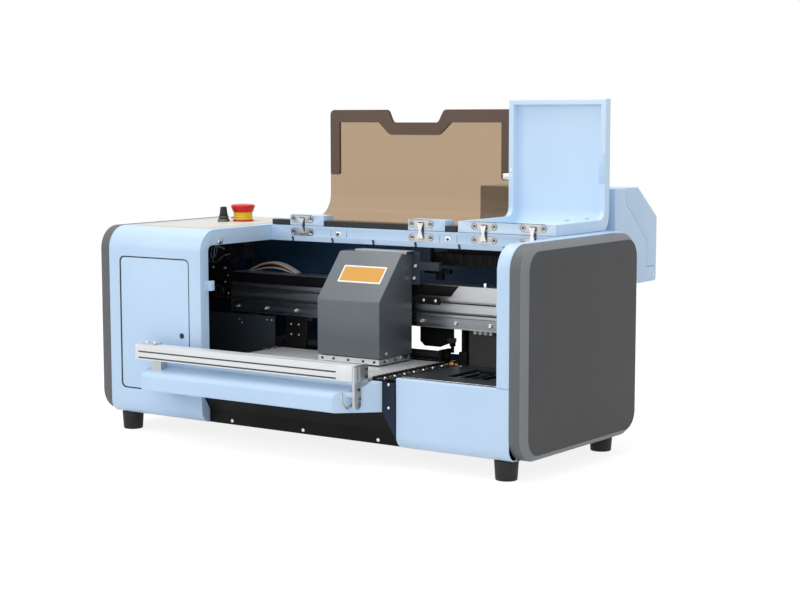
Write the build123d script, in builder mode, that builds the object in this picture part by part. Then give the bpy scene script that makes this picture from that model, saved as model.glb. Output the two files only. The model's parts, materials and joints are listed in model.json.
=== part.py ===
from build123d import *
import math
import os

# Desktop direct to film printer. Millimetres, +X to the right, +Y to the rear, +Z up.
# The origin lies on the floor, under the middle of the overall width and depth.
# Depths in this file count from the front face of the case, and FRONT puts them in the frame.

# Case
WIDTH = 780.0
DEPTH = 316.0
HEIGHT = 292.0
FOOT_HEIGHT = 28.0
SKIN = 3.0
SHEET = 2.5
TOP = FOOT_HEIGHT + HEIGHT
FLOOR_TOP = FOOT_HEIGHT + SKIN
PLATE_FRONT = DEPTH - SKIN
ROUND_TOP = 35.0
ROUND_BOTTOM = 18.0
LIP = 26.0
CHEEK_FRONT = 19.0
CHEEK_TOP = 24.0
PART_GAP = 0.3

# Side panels
PANEL = 25.5
PANEL_CHAMFER = 8.7
PANEL_POCKET = 16.5
PANEL_RIM = 6.0
CASE_X = WIDTH / 2 - PANEL

# Front opening, between the left casing and the right pillar
OPENING_LEFT = -CASE_X + 188.0
OPENING_RIGHT = CASE_X - 20.0
LOW_CASING_LEFT = CASE_X - 183.5
LOW_CASING_TOP = 128.0

# Access panel in the left casing
ACCESS_WIDTH = 141.0
ACCESS_HEIGHT = 206.0
ACCESS_X = OPENING_LEFT - 94.0
ACCESS_Z = 172.0
ACCESS_ROUND = 8.0
ACCESS_GAP = 1.0
ACCESS_LEDGE = 5.0

# Control panel, stop switch and selector on the left casing's top
CONTROL_WIDTH = 158.0
CONTROL_DEPTH = DEPTH - 62.0
CONTROL_X = OPENING_LEFT - 94.5
CONTROL_Y = DEPTH / 2 + 5.0
CONTROL_PLATE = 1.6
CONTROL_SINK = 1.2
STOP_X, STOP_Y = OPENING_LEFT - 85.5, DEPTH - 112.0
STOP_COLLAR = 18.0
STOP_BARREL = 11.0
STOP_STEM = 7.0
STOP_HEAD = 22.0
STOP_BODY_HEIGHT = 16.0
STOP_TRAVEL = 3.5
STOP_HEAD_HEIGHT = 24.5
STOP_DEEP = 38.0
KNOB_X, KNOB_Y = STOP_X - 19.0, STOP_Y - 26.0
KNOB_RADIUS = 6.5
KNOB_SKIRT = 8.0
KNOB_HEIGHT = 24.0
KNOB_RING = 4.0
SHAFT_CLEARANCE = 0.06

# Hinge beam and the two lids, which stand open by half a turn
BEAM_FACE = DEPTH / 2 + 13.0
BEAM_HEIGHT = 24.0
BEAM_DEEP = 29.0
BEAM_WALL = 4.0
NOTCH_FIRST = OPENING_LEFT + 42.5
NOTCH_PITCH = 77.0
NOTCH_COUNT = 5
AXIS_Y = BEAM_FACE - 0.5
AXIS_Z = TOP + 0.25
LID_BASE = TOP + 0.5
COVER_SHUT = 14.0
LID_SHUT = 3.0
COVER_LEFT = OPENING_LEFT + 2.0
LID_LEFT = OPENING_RIGHT - 173.0
LID_RIGHT = OPENING_RIGHT - 9.5
COVER_RIGHT = LID_LEFT - 3.0
HINGE_X = (COVER_LEFT + 59.0, COVER_RIGHT - 61.5, LID_LEFT + 45.0, LID_RIGHT - 37.0)
LEAF_LENGTH = 45.0
LEAF_HEIGHT = 11.5
LEAF_DROP = 10.0
LEAF_PLATE = 2.5
CUP_LENGTH = 20.0
CUP_DEEP = 13.5
LINK_WIDTH = 10.0
LINK_HALF = 11.6
LINK_THICK = 3.0
LINK_SLOT = 10.6
LINK_SWEEP = 12.6

COVER_SHEET = 4.0
COVER_BACK = 2 * AXIS_Y - COVER_SHUT
COVER_TOP = 497.0
COVER_BEND = 40.0
COVER_LIFT = 2.0
COVER_EDGE = BEAM_FACE + 4.0
RAIL_DEEP = 15.0
RAIL_HEIGHT = 8.0
BLOCK_DEEP = 25.0
BLOCK_HEIGHT = 16.0
BLOCK_LEFT = 23.5
BLOCK_RIGHT = 42.0
GRIP_NOTCH_X = (COVER_LEFT + COVER_RIGHT) / 2
GRIP_NOTCH_MOUTH = 104.0
GRIP_NOTCH_FLOOR = 83.0
GRIP_NOTCH_DEEP = 20.0

LID_BACK = 2 * AXIS_Y - LID_SHUT
LID_TOP = 511.5
LID_FACE_DEEP = 28.0
LID_BASE_HEIGHT = 16.0
LID_RIM = 8.0
LID_BEND = 30.0

# Front tray, platen and guide bar
TRAY_LEFT = OPENING_LEFT - 78.5
TRAY_RIGHT = LOW_CASING_LEFT - 23.0
TRAY_REACH = 49.0
TRAY_CORNER = TRAY_RIGHT - 51.0
TRAY_BOTTOM = 78.0
TRAY_LIP = 104.0
TRAY_BACK = 121.5
TRAY_WALL = 3.0
APRON_RIGHT = LOW_CASING_LEFT
APRON_BEND = 76.0
APRON_SINK = 18.0
APRON_FLANGE = 48.0
APRON_TOP = 111.0
STRIP_WIDTH = 20.0

PLATEN_LEFT = OPENING_LEFT + 9.5
PLATEN_RIGHT = LOW_CASING_LEFT - 41.5
PLATEN_TOP = 125.5
PLATEN_SHEET = 3.0
PLATEN_FRONT = -5.0
RUNWAY_FRONT = BEAM_FACE + 14.0
ROLLER_Y = RUNWAY_FRONT + 12.0
PLATEN_REAR = ROLLER_Y - 15.0
PLATEN_BOX = 111.0
PLATEN_RAIL = 25.0

BAR_LEFT = TRAY_LEFT - 20.0
BAR_RIGHT = TRAY_RIGHT - 23.0
BAR_FRONT = -40.0
BAR_DEEP = 22.0
BAR_BOTTOM = 123.3
BAR_HEIGHT = 22.5
BAR_GROOVE = 2.5
BAR_GROOVE_DEEP = 2.0
BAR_CAP = 28.0
BAR_WALL = 3.0
STRAP_THICK = 4.0
STRAP_WIDTH = 15.0
STRAP_BOTTOM = 84.0
STRAP_SCREW_Z = 104.0
HOOK_Z = 91.0
HOOK_WIRE = 2.0
HOOK_REACH = 28.0
HOOK_RISE = 19.0

# Carriage and the beam that it runs along
RUNWAY_LEFT = OPENING_LEFT - 96.5
RUNWAY_RIGHT = OPENING_RIGHT + 7.5
RUNWAY_DEEP = 40.0
RUNWAY_BOTTOM = 176.0
RUNWAY_TOP = 240.0
RUNWAY_WALL = 4.0
RAIL_LEFT, RAIL_RIGHT = RUNWAY_LEFT + 11.0, RUNWAY_RIGHT - 22.0
RAIL_BOTTOM, RAIL_TOP = 179.0, 193.0
RAIL_FRONT = RUNWAY_FRONT - 8.0
GUARD_WIDE = (-CASE_X + 43.5, OPENING_LEFT + 1.5)
GUARD_FRONT = RUNWAY_FRONT - 11.5
GUARD_TOP = RAIL_BOTTOM - 5.0
BELT_Z = 207.0
BELT_INNER = 7.4
BELT_THICK = 1.4
BELT_FRONT = RUNWAY_FRONT - 8.0
BELT_WIDTH = 6.0
PULLEY_CLEARANCE = 0.05
PULLEY_FLANGE = 9.5
DRIVE_X, IDLE_X = RUNWAY_LEFT - 25.0, RUNWAY_RIGHT - 14.0
SHAFT = 2.5
STUD = 3.0
MOTOR = 42.0
MOTOR_LENGTH = 42.0
MOTOR_PLATE = 3.0

CARRIAGE_LEFT = OPENING_LEFT + 155.0
CARRIAGE_RIGHT = CARRIAGE_LEFT + 113.0
CARRIAGE_REAR = RUNWAY_FRONT - 15.0
CARRIAGE_FRONT = CARRIAGE_REAR - 84.0
CARRIAGE_BOTTOM = 137.0
CARRIAGE_BEND = 220.0
CARRIAGE_TOP = 287.0
CARRIAGE_CREST = CARRIAGE_REAR - 27.0
CARRIAGE_SHEET = 2.0
CARRIAGE_PLATE = 3.5
HEAD_PLATE_BOTTOM = 128.0
HEAD_PLATE_TOP = 136.0
HEAD_WIDTH, HEAD_DEEP = 26.0, 46.0
HEAD_BOTTOM = 127.2
HEAD_PITCH = 52.0
RUNNER_X = (CARRIAGE_LEFT + 29.0, CARRIAGE_LEFT + 84.0)
RUNNER_LENGTH = 35.0
RUNNER_BOTTOM, RUNNER_TOP = 172.0, 197.2
RUNNER_REAR = RUNWAY_FRONT - 1.0

# Film feed
FEED_RADIUS, PINCH_RADIUS = 8.0, 7.0
FEED_SHAFT, PINCH_SHAFT = 4.0, 3.0
FILM_GAP = 0.3
ROLLER_LEFT, ROLLER_RIGHT = PLATEN_LEFT + 7.0, PLATEN_RIGHT - 14.5
FEED_Z = PLATEN_TOP + 0.2 - FEED_RADIUS
PINCH_Z = FEED_Z + FEED_RADIUS + FILM_GAP + PINCH_RADIUS
BRACKET_THICK = 4.0
BRACKET_LEFT, BRACKET_RIGHT = ROLLER_LEFT - 12.0, ROLLER_RIGHT + 5.0
FEED_MOTOR_X = BRACKET_LEFT - 24.0

# Service side, right of the platen
DECK_LEFT = PLATEN_RIGHT + PLATEN_RAIL + 0.5
DECK_REAR = RUNWAY_FRONT + 4.0
DECK_TOP = 123.5
CAP_X, CAP_Y = OPENING_RIGHT - 97.5, CARRIAGE_FRONT + 36.0
CAP_WIDTH, CAP_DEEP = 66.0, 76.0
CAP_TOP = 119.7
BOX_LEFT, BOX_RIGHT = LOW_CASING_LEFT - 5.0, OPENING_RIGHT - 54.5
BOX_FRONT, BOX_REAR = RUNWAY_FRONT + 10.0, DEPTH - 26.0
BOX_TOP = 175.0
BOARD = 1.6

# Ink box behind the case
INK_LEFT, INK_RIGHT = OPENING_RIGHT - 243.5, OPENING_RIGHT - 8.5
INK_FRONT = DEPTH + 26.0
INK_REAR = INK_FRONT + 131.0
INK_BOTTOM = 235.0
INK_TOP = 380.0
INK_CREST = INK_FRONT + 69.0
INK_SHOULDER = 333.0
INK_STEP = TOP - 3.5
SEAM_FRONT, SEAM_KNEE = INK_FRONT + 33.0, 357.0
SEAM_REAR, SEAM_LOW, SEAM_END = INK_FRONT + 99.0, 299.0, 258.0
TANK_COUNT = 5
TANK_PITCH = 43.0
TANK_WIDTH, TANK_DEEP, TANK_HEIGHT = 36.0, 50.0, 80.0
TANK_CAP, TANK_CAP_HEIGHT = 10.0, 12.0

# The body's front face stands this far from the frame's origin
REACH = -(BAR_FRONT + BAR_DEEP / 2) + HOOK_REACH + HOOK_WIRE
FRONT = (REACH - INK_REAR) / 2


def level(z):
    """A level plane at height z: its own x and y are X and the depth from the front."""
    return Plane(origin=(0, FRONT, z), x_dir=(1, 0, 0), z_dir=(0, 0, 1))


def across(x):
    """A plane across the width at x, looking along +X: its own x and y are depth and Z."""
    return Plane(origin=(x, FRONT, 0), x_dir=(0, 1, 0), z_dir=(1, 0, 0))


def facing(y):
    """An upright plane at depth y, facing the front: its own x and y are X and Z."""
    return Plane(origin=(0, FRONT + y, 0), x_dir=(1, 0, 0), z_dir=(0, -1, 0))


def outline(corners):
    """A closed face through (a, b) or (a, b, radius) corners."""
    points = [corner[:2] for corner in corners]
    radii = [corner[2] if len(corner) > 2 else 0 for corner in corners]
    with BuildLine() as edge:
        FilletPolyline(*points, radius=radii, close=True)
    make_face(edge.edges())


def prism(plane, corners, depth, mode=Mode.ADD):
    """A prism on a plane, or the cut that it makes."""
    with BuildSketch(plane) as shape:
        outline(corners)
    extrude(shape.sketch, amount=depth, mode=mode)


def block(x, y, z, mode=Mode.ADD):
    """A square block between two values along each direction."""
    centre = (sum(x) / 2, FRONT + sum(y) / 2, sum(z) / 2)
    with Locations(centre):
        Box(x[1] - x[0], y[1] - y[0], z[1] - z[0], mode=mode)


def rod(plane, at, radius, length, mode=Mode.ADD):
    """A round rod that stands on a plane, or the bore that it makes."""
    with BuildSketch(plane) as shape:
        with Locations(at):
            Circle(radius)
    extrude(shape.sketch, amount=length, mode=mode)


def casing_section(low, bottom_round):
    """The casings' sheet, from its lower edge up the front and back over the top."""
    return [
        (0, low, bottom_round),
        (0, TOP, ROUND_TOP),
        (DEPTH, TOP),
        (DEPTH, TOP - SKIN),
        (SKIN, TOP - SKIN, ROUND_TOP - SKIN),
    ]


def cheek(low, bottom_round):
    """The flat return of a casing round the front opening."""
    return [
        (0, low, bottom_round),
        (0, TOP, ROUND_TOP),
        (PLATE_FRONT, TOP),
        (PLATE_FRONT, TOP - CHEEK_TOP),
        (CHEEK_FRONT, TOP - CHEEK_TOP, 9),
        (CHEEK_FRONT, low),
    ]


def tray_top(y):
    """Height of the tray's sloping top at a depth."""
    return TRAY_BACK + (TRAY_BACK - TRAY_LIP) * y / TRAY_REACH


def hinge_cut(x):
    """The mortise for a fixed hinge leaf, and the slot that its link folds into."""
    with BuildSketch(facing(BEAM_FACE)) as pocket:
        with Locations((x, AXIS_Z - LEAF_DROP)):
            SlotOverall(LEAF_LENGTH + 2 * PART_GAP, LEAF_HEIGHT + 2 * PART_GAP)
    extrude(pocket.sketch, amount=-LEAF_PLATE, mode=Mode.SUBTRACT)
    cup_half = CUP_LENGTH / 2 + PART_GAP
    cup_low = AXIS_Z - LEAF_DROP - LEAF_HEIGHT / 2 - PART_GAP
    block(
        (x - cup_half, x + cup_half),
        (BEAM_FACE - 1, BEAM_FACE + CUP_DEEP + PART_GAP),
        (cup_low, cup_low + LEAF_HEIGHT + 2 * PART_GAP),
        Mode.SUBTRACT,
    )
    block(
        (x - LINK_SLOT / 2, x + LINK_SLOT / 2),
        (BEAM_FACE - 1, AXIS_Y + LINK_SWEEP + 1),
        (AXIS_Z - LINK_SWEEP, TOP + 1),
        Mode.SUBTRACT,
    )


def hinge_leaf(x):
    """A concealed hinge's fixed leaf: a rounded plate with a slotted cup behind it."""
    with BuildSketch(facing(BEAM_FACE)) as plate:
        with Locations((x, AXIS_Z - LEAF_DROP)):
            SlotOverall(LEAF_LENGTH, LEAF_HEIGHT)
            with GridLocations(LEAF_LENGTH - LEAF_HEIGHT, 1, 2, 1):
                Circle(2, mode=Mode.SUBTRACT)
    extrude(plate.sketch, amount=-LEAF_PLATE)
    leaf_low = AXIS_Z - LEAF_DROP - LEAF_HEIGHT / 2
    block(
        (x - CUP_LENGTH / 2, x + CUP_LENGTH / 2),
        (BEAM_FACE + LEAF_PLATE, BEAM_FACE + CUP_DEEP),
        (leaf_low, leaf_low + LEAF_HEIGHT),
    )
    block(
        (x - LINK_SLOT / 2, x + LINK_SLOT / 2),
        (BEAM_FACE - 1, AXIS_Y + LINK_SWEEP),
        (AXIS_Z - LINK_SWEEP, TOP + 1),
        Mode.SUBTRACT,
    )


def hinge_link(x):
    """The crossed links of a hinge, in front of both leaves while the lid stands open."""
    low = -LINK_HALF
    lean = LINK_WIDTH / 2
    bar = LINK_WIDTH * 0.45
    centre = (x, FRONT + AXIS_Y - 0.25, AXIS_Z)
    with BuildSketch(Plane(origin=centre, x_dir=(1, 0, 0), z_dir=(0, -1, 0))) as links:
        outline([(-lean, low), (-lean + bar, low), (lean, -low), (lean - bar, -low)])
        outline([(lean, low), (lean - bar, low), (-lean, -low), (-lean + bar, -low)])
    extrude(links.sketch, amount=LINK_THICK)


def turned_over():
    """The level plane about which a lid's leaves mirror the beam's."""
    return Plane.XY.offset(AXIS_Z)


# Side panels
panel_outline = [
    (0, FOOT_HEIGHT, ROUND_TOP),
    (DEPTH, FOOT_HEIGHT, ROUND_TOP),
    (DEPTH, TOP, ROUND_TOP),
    (0, TOP, ROUND_TOP),
]
panel_inside = [
    (PANEL_RIM, FOOT_HEIGHT + PANEL_RIM, ROUND_TOP - PANEL_RIM),
    (DEPTH - PANEL_RIM, FOOT_HEIGHT + PANEL_RIM, ROUND_TOP - PANEL_RIM),
    (DEPTH - PANEL_RIM, TOP - PANEL_RIM, ROUND_TOP - PANEL_RIM),
    (PANEL_RIM, TOP - PANEL_RIM, ROUND_TOP - PANEL_RIM),
]
with BuildPart() as right_side_panel:
    prism(across(CASE_X), panel_outline, PANEL)
    chamfer(right_side_panel.edges().group_by(Axis.X)[-1], PANEL_CHAMFER)
    prism(across(CASE_X), panel_inside, PANEL_POCKET, Mode.SUBTRACT)

with BuildPart() as left_side_panel:
    mirror(right_side_panel.part, about=Plane.YZ)

# Left casing, with its access panel and the control panel on top
access_hole = [
    (ACCESS_X - ACCESS_WIDTH / 2, ACCESS_Z - ACCESS_HEIGHT / 2, ACCESS_ROUND),
    (ACCESS_X + ACCESS_WIDTH / 2, ACCESS_Z - ACCESS_HEIGHT / 2, ACCESS_ROUND),
    (ACCESS_X + ACCESS_WIDTH / 2, ACCESS_Z + ACCESS_HEIGHT / 2, ACCESS_ROUND),
    (ACCESS_X - ACCESS_WIDTH / 2, ACCESS_Z + ACCESS_HEIGHT / 2, ACCESS_ROUND),
]


def access_frame(inset):
    """The access hole's outline, drawn in by an inset."""
    a = ACCESS_WIDTH / 2 - inset
    b = ACCESS_HEIGHT / 2 - inset
    r = max(ACCESS_ROUND - inset, 1)
    corners = ((-a, -b), (a, -b), (a, b), (-a, b))
    return [(ACCESS_X + dx, ACCESS_Z + dz, r) for dx, dz in corners]


with BuildPart() as left_casing:
    sheet = casing_section(FOOT_HEIGHT, ROUND_BOTTOM)
    inside = [(SKIN, FLOOR_TOP, ROUND_BOTTOM - SKIN), (LIP, FLOOR_TOP), (LIP, FOOT_HEIGHT)]
    prism(across(-CASE_X), sheet + inside, OPENING_LEFT + CASE_X)
    prism(across(OPENING_LEFT - SKIN), cheek(FOOT_HEIGHT, ROUND_BOTTOM), SKIN)
    prism(facing(SKIN + 2), access_frame(-6), 2)
    prism(facing(SKIN), access_frame(0), SKIN, Mode.SUBTRACT)
    prism(facing(SKIN + 2), access_frame(ACCESS_LEDGE), SKIN + 2, Mode.SUBTRACT)
    block(
        (CONTROL_X - CONTROL_WIDTH / 2, CONTROL_X + CONTROL_WIDTH / 2),
        (CONTROL_Y - CONTROL_DEPTH / 2, CONTROL_Y + CONTROL_DEPTH / 2),
        (TOP - CONTROL_SINK, TOP + 1),
        Mode.SUBTRACT,
    )
    rod(level(TOP - SKIN - 1), (STOP_X, STOP_Y), STOP_BARREL + PART_GAP, 5, Mode.SUBTRACT)
    rod(level(TOP - SKIN - 1), (KNOB_X, KNOB_Y), KNOB_SKIRT, 5, Mode.SUBTRACT)

with BuildPart() as access_panel:
    prism(facing(SKIN), access_frame(ACCESS_GAP), SKIN)

PANEL_TOP = TOP - CONTROL_SINK + CONTROL_PLATE
with BuildPart() as control_panel:
    block(
        (CONTROL_X - CONTROL_WIDTH / 2, CONTROL_X + CONTROL_WIDTH / 2),
        (CONTROL_Y - CONTROL_DEPTH / 2, CONTROL_Y + CONTROL_DEPTH / 2),
        (TOP - CONTROL_SINK, PANEL_TOP),
    )
    chamfer(control_panel.edges().group_by(Axis.Z)[-1], 0.3)
    rod(level(PANEL_TOP), (KNOB_X, KNOB_Y), KNOB_SKIRT + 1, KNOB_RING)
    rod(level(TOP - SKIN - 2), (KNOB_X, KNOB_Y), KNOB_SKIRT - PART_GAP, SKIN + 2)
    rod(level(TOP - SKIN - 3), (KNOB_X, KNOB_Y), 3 + SHAFT_CLEARANCE, 20, Mode.SUBTRACT)
    rod(level(TOP - 3), (STOP_X, STOP_Y), STOP_BARREL + PART_GAP, 5, Mode.SUBTRACT)

with BuildPart() as stop_switch_body:
    rod(level(PANEL_TOP), (STOP_X, STOP_Y), STOP_COLLAR + 1.5, 3)
    rod(level(PANEL_TOP + 3), (STOP_X, STOP_Y), STOP_COLLAR, STOP_BODY_HEIGHT - 3)
    rod(level(TOP - STOP_DEEP), (STOP_X, STOP_Y), STOP_BARREL, PANEL_TOP - TOP + STOP_DEEP)
    block(
        (STOP_X - 15, STOP_X + 15),
        (STOP_Y - 15, STOP_Y + 15),
        (TOP - STOP_DEEP - 8, TOP - SKIN - 8),
    )
    rod(
        level(TOP - SKIN),
        (STOP_X, STOP_Y),
        STOP_STEM + SHAFT_CLEARANCE,
        STOP_BODY_HEIGHT + 20,
        Mode.SUBTRACT,
    )

STOP_CEILING = PANEL_TOP + STOP_BODY_HEIGHT + STOP_TRAVEL + PART_GAP
with BuildPart() as stop_switch_head:
    with BuildSketch(level(PANEL_TOP + STOP_BODY_HEIGHT - 4)):
        with Locations((STOP_X, STOP_Y)):
            Circle(STOP_COLLAR + 2)
    with BuildSketch(level(PANEL_TOP + STOP_HEAD_HEIGHT - 4)):
        with Locations((STOP_X, STOP_Y)):
            Circle(STOP_HEAD)
    loft()
    rod(level(PANEL_TOP + STOP_HEAD_HEIGHT - 4), (STOP_X, STOP_Y), STOP_HEAD, 4)
    fillet(stop_switch_head.edges().group_by(Axis.Z)[-1], 2.5)
    rod(
        level(PANEL_TOP + STOP_BODY_HEIGHT - 5),
        (STOP_X, STOP_Y),
        STOP_COLLAR + PART_GAP,
        STOP_CEILING - PANEL_TOP - STOP_BODY_HEIGHT + 5,
        Mode.SUBTRACT,
    )
    rod(level(TOP + 2), (STOP_X, STOP_Y), STOP_STEM, STOP_CEILING - TOP)

with BuildPart() as selector_knob:
    knob_low = PANEL_TOP + KNOB_RING + PART_GAP
    with BuildSketch(level(knob_low)):
        with Locations((KNOB_X, KNOB_Y)):
            Circle(KNOB_SKIRT)
    with BuildSketch(level(PANEL_TOP + KNOB_HEIGHT)):
        with Locations((KNOB_X, KNOB_Y)):
            Circle(KNOB_RADIUS)
    loft()
    fillet(selector_knob.edges().group_by(Axis.Z)[-1], 1)
    rod(level(TOP - SKIN - 2), (KNOB_X, KNOB_Y), 3, knob_low - TOP + SKIN + 3)

# Right side: pillar and low casing
with BuildPart() as right_pillar:
    low = LOW_CASING_TOP + PART_GAP
    sheet = casing_section(low, 0) + [(SKIN, low)]
    prism(across(OPENING_RIGHT), sheet, CASE_X - OPENING_RIGHT)
    prism(across(OPENING_RIGHT), cheek(low, 0), SKIN)

with BuildPart() as right_low_casing:
    low_section = [
        (LIP, FOOT_HEIGHT),
        (0, FOOT_HEIGHT, ROUND_BOTTOM),
        (0, LOW_CASING_TOP, 2),
        (10, LOW_CASING_TOP),
        (10, LOW_CASING_TOP - SKIN),
        (SKIN, LOW_CASING_TOP - SKIN),
        (SKIN, FLOOR_TOP, ROUND_BOTTOM - SKIN),
        (LIP, FLOOR_TOP),
    ]
    prism(across(LOW_CASING_LEFT), low_section, CASE_X - LOW_CASING_LEFT)
    end_wall = [
        (LIP, FOOT_HEIGHT),
        (0, FOOT_HEIGHT, ROUND_BOTTOM),
        (0, LOW_CASING_TOP, 2),
        (10, LOW_CASING_TOP),
        (10, LOW_CASING_TOP - 20),
        (LIP, LOW_CASING_TOP - 40),
    ]
    prism(across(LOW_CASING_LEFT), end_wall, SKIN)

# Floor, rear and top
with BuildPart() as base_pan:
    block((-CASE_X, CASE_X), (LIP, DEPTH), (FOOT_HEIGHT, FLOOR_TOP))

with BuildPart() as feet:
    foot_places = [(s * (CASE_X - 19.5), y) for s in (-1, 1) for y in (27, DEPTH - 27)]
    with BuildSketch(level(0)):
        with Locations(*foot_places):
            Circle(15)
    extrude(amount=FOOT_HEIGHT, taper=-4)

INLET_X, INLET_Z = -CASE_X + 64.5, 72.0
FILM_SLOT = ((PLATEN_LEFT + 2, PLATEN_RIGHT + 30.5), (118.0, 182.0))
with BuildPart() as rear_panel:
    block((-CASE_X, CASE_X), (PLATE_FRONT, DEPTH), (FLOOR_TOP, TOP - SKIN))
    block(FILM_SLOT[0], (PLATE_FRONT - 1, DEPTH + 1), FILM_SLOT[1], Mode.SUBTRACT)
    block(
        (INLET_X - 14, INLET_X + 14),
        (PLATE_FRONT - 1, DEPTH + 1),
        (INLET_Z - 12, INLET_Z + 12),
        Mode.SUBTRACT,
    )
    with BuildSketch(facing(DEPTH + 1)) as vents:
        with Locations((-CASE_X + 49.5, 132), (CASE_X - 149.5, 90), (CASE_X - 79.5, 90)):
            with GridLocations(1, 11, 1, 8):
                SlotOverall(60, 5)
    extrude(vents.sketch, amount=SKIN + 2, mode=Mode.SUBTRACT)

with BuildPart() as power_inlet:
    block((INLET_X - 13.7, INLET_X + 13.7), (DEPTH - 19, DEPTH), (INLET_Z - 11.7, INLET_Z + 11.7))
    block((INLET_X - 18, INLET_X + 18), (DEPTH, DEPTH + 2), (INLET_Z - 15, INLET_Z + 15))
    block(
        (INLET_X - 12, INLET_X + 12),
        (DEPTH - 15, DEPTH + 3),
        (INLET_Z - 8.5, INLET_Z + 8.5),
        Mode.SUBTRACT,
    )

with BuildPart() as top_deck:
    block((OPENING_LEFT, OPENING_RIGHT), (BEAM_FACE + BEAM_DEEP, DEPTH), (TOP - SKIN, TOP))

with BuildPart() as hinge_beam:
    beam_section = [
        (BEAM_FACE, TOP - BEAM_HEIGHT),
        (BEAM_FACE, TOP, 1),
        (BEAM_FACE + BEAM_DEEP, TOP),
        (BEAM_FACE + BEAM_DEEP, TOP - BEAM_WALL),
        (BEAM_FACE + BEAM_WALL, TOP - BEAM_WALL),
        (BEAM_FACE + BEAM_WALL, TOP - BEAM_HEIGHT),
    ]
    prism(across(OPENING_LEFT), beam_section, OPENING_RIGHT - OPENING_LEFT)
    for i in range(NOTCH_COUNT):
        notch_x = NOTCH_FIRST + i * NOTCH_PITCH
        block(
            (notch_x - 1.5, notch_x + 1.5),
            (BEAM_FACE - 1, BEAM_FACE + BEAM_WALL + 1),
            (TOP - BEAM_HEIGHT - 1, TOP - BEAM_HEIGHT + 7),
            Mode.SUBTRACT,
        )
    for x in HINGE_X:
        hinge_cut(x)

with BuildPart() as hinge_bases:
    for x in HINGE_X:
        hinge_leaf(x)

# Smoked cover with its black edge rail, hinge blocks, leaves and links
COVER_LOW = LID_BASE + COVER_LIFT
BLOCK_SPANS = [(x - BLOCK_LEFT, x + BLOCK_RIGHT) for x in HINGE_X[:2]]
with BuildPart() as smoked_cover:
    cover_section = [
        (COVER_EDGE, COVER_LOW),
        (COVER_BACK, COVER_LOW, COVER_BEND),
        (COVER_BACK, COVER_TOP),
        (COVER_BACK - COVER_SHEET, COVER_TOP),
        (COVER_BACK - COVER_SHEET, COVER_LOW + COVER_SHEET, COVER_BEND - COVER_SHEET),
        (COVER_EDGE, COVER_LOW + COVER_SHEET),
    ]
    prism(across(COVER_LEFT), cover_section, COVER_RIGHT - COVER_LEFT)
    mouth, floor = GRIP_NOTCH_MOUTH / 2, GRIP_NOTCH_FLOOR / 2
    grip = [
        (GRIP_NOTCH_X - mouth - 8, COVER_TOP + 8),
        (GRIP_NOTCH_X - mouth, COVER_TOP, 8),
        (GRIP_NOTCH_X - floor, COVER_TOP - GRIP_NOTCH_DEEP, 8),
        (GRIP_NOTCH_X + floor, COVER_TOP - GRIP_NOTCH_DEEP, 8),
        (GRIP_NOTCH_X + mouth, COVER_TOP, 8),
        (GRIP_NOTCH_X + mouth + 8, COVER_TOP + 8),
    ]
    prism(facing(COVER_BACK + 1), grip, COVER_SHEET + 2, Mode.SUBTRACT)
    upright = smoked_cover.edges().filter_by(Axis.Y).group_by(Axis.Z)[-1]
    fillet(upright.sort_by(Axis.X)[0], 6)
    fillet(
        smoked_cover.edges().filter_by(Axis.Y).group_by(Axis.Z)[-1].sort_by(Axis.X)[-1], 6
    )
    for span in BLOCK_SPANS:
        block(
            span,
            (COVER_EDGE - 1, BEAM_FACE + RAIL_DEEP),
            (COVER_LOW - 1, COVER_LOW + COVER_SHEET + 1),
            Mode.SUBTRACT,
        )

with BuildPart() as cover_rail:
    block(
        (COVER_LEFT, COVER_RIGHT),
        (BEAM_FACE, BEAM_FACE + RAIL_DEEP),
        (LID_BASE, LID_BASE + RAIL_HEIGHT),
    )
    block(
        (COVER_LEFT - 1, COVER_RIGHT + 1),
        (COVER_EDGE, BEAM_FACE + RAIL_DEEP + 1),
        (COVER_LOW, COVER_LOW + COVER_SHEET),
        Mode.SUBTRACT,
    )
    for span in BLOCK_SPANS:
        block(
            span,
            (BEAM_FACE - 1, BEAM_FACE + RAIL_DEEP + 1),
            (LID_BASE - 1, LID_BASE + RAIL_HEIGHT + 1),
            Mode.SUBTRACT,
        )

with BuildPart() as lid_mortises:
    for x in HINGE_X:
        with BuildSketch(facing(BEAM_FACE)) as mortise:
            with Locations((x, AXIS_Z + LEAF_DROP)):
                SlotOverall(LEAF_LENGTH + 2 * PART_GAP, LEAF_HEIGHT + 2 * PART_GAP)
        extrude(mortise.sketch, amount=-LEAF_PLATE)
        cup_low = AXIS_Z + LEAF_DROP - LEAF_HEIGHT / 2 - PART_GAP
        block(
            (x - CUP_LENGTH / 2 - PART_GAP, x + CUP_LENGTH / 2 + PART_GAP),
            (BEAM_FACE - 1, BEAM_FACE + CUP_DEEP + PART_GAP),
            (cup_low, cup_low + LEAF_HEIGHT + 2 * PART_GAP),
        )
        block(
            (x - LINK_SLOT / 2, x + LINK_SLOT / 2),
            (BEAM_FACE - 1, AXIS_Y + LINK_SWEEP + 1),
            (LID_BASE - 1, AXIS_Z + LINK_SWEEP),
        )

with BuildPart() as cover_blocks:
    for span in BLOCK_SPANS:
        block(span, (BEAM_FACE, BEAM_FACE + BLOCK_DEEP), (LID_BASE, LID_BASE + BLOCK_HEIGHT))
    block(
        (COVER_LEFT, COVER_RIGHT),
        (BEAM_FACE + RAIL_DEEP, BEAM_FACE + BLOCK_DEEP + 1),
        (COVER_LOW, COVER_LOW + COVER_SHEET),
        Mode.SUBTRACT,
    )
    add(lid_mortises.part, mode=Mode.SUBTRACT)

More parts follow.
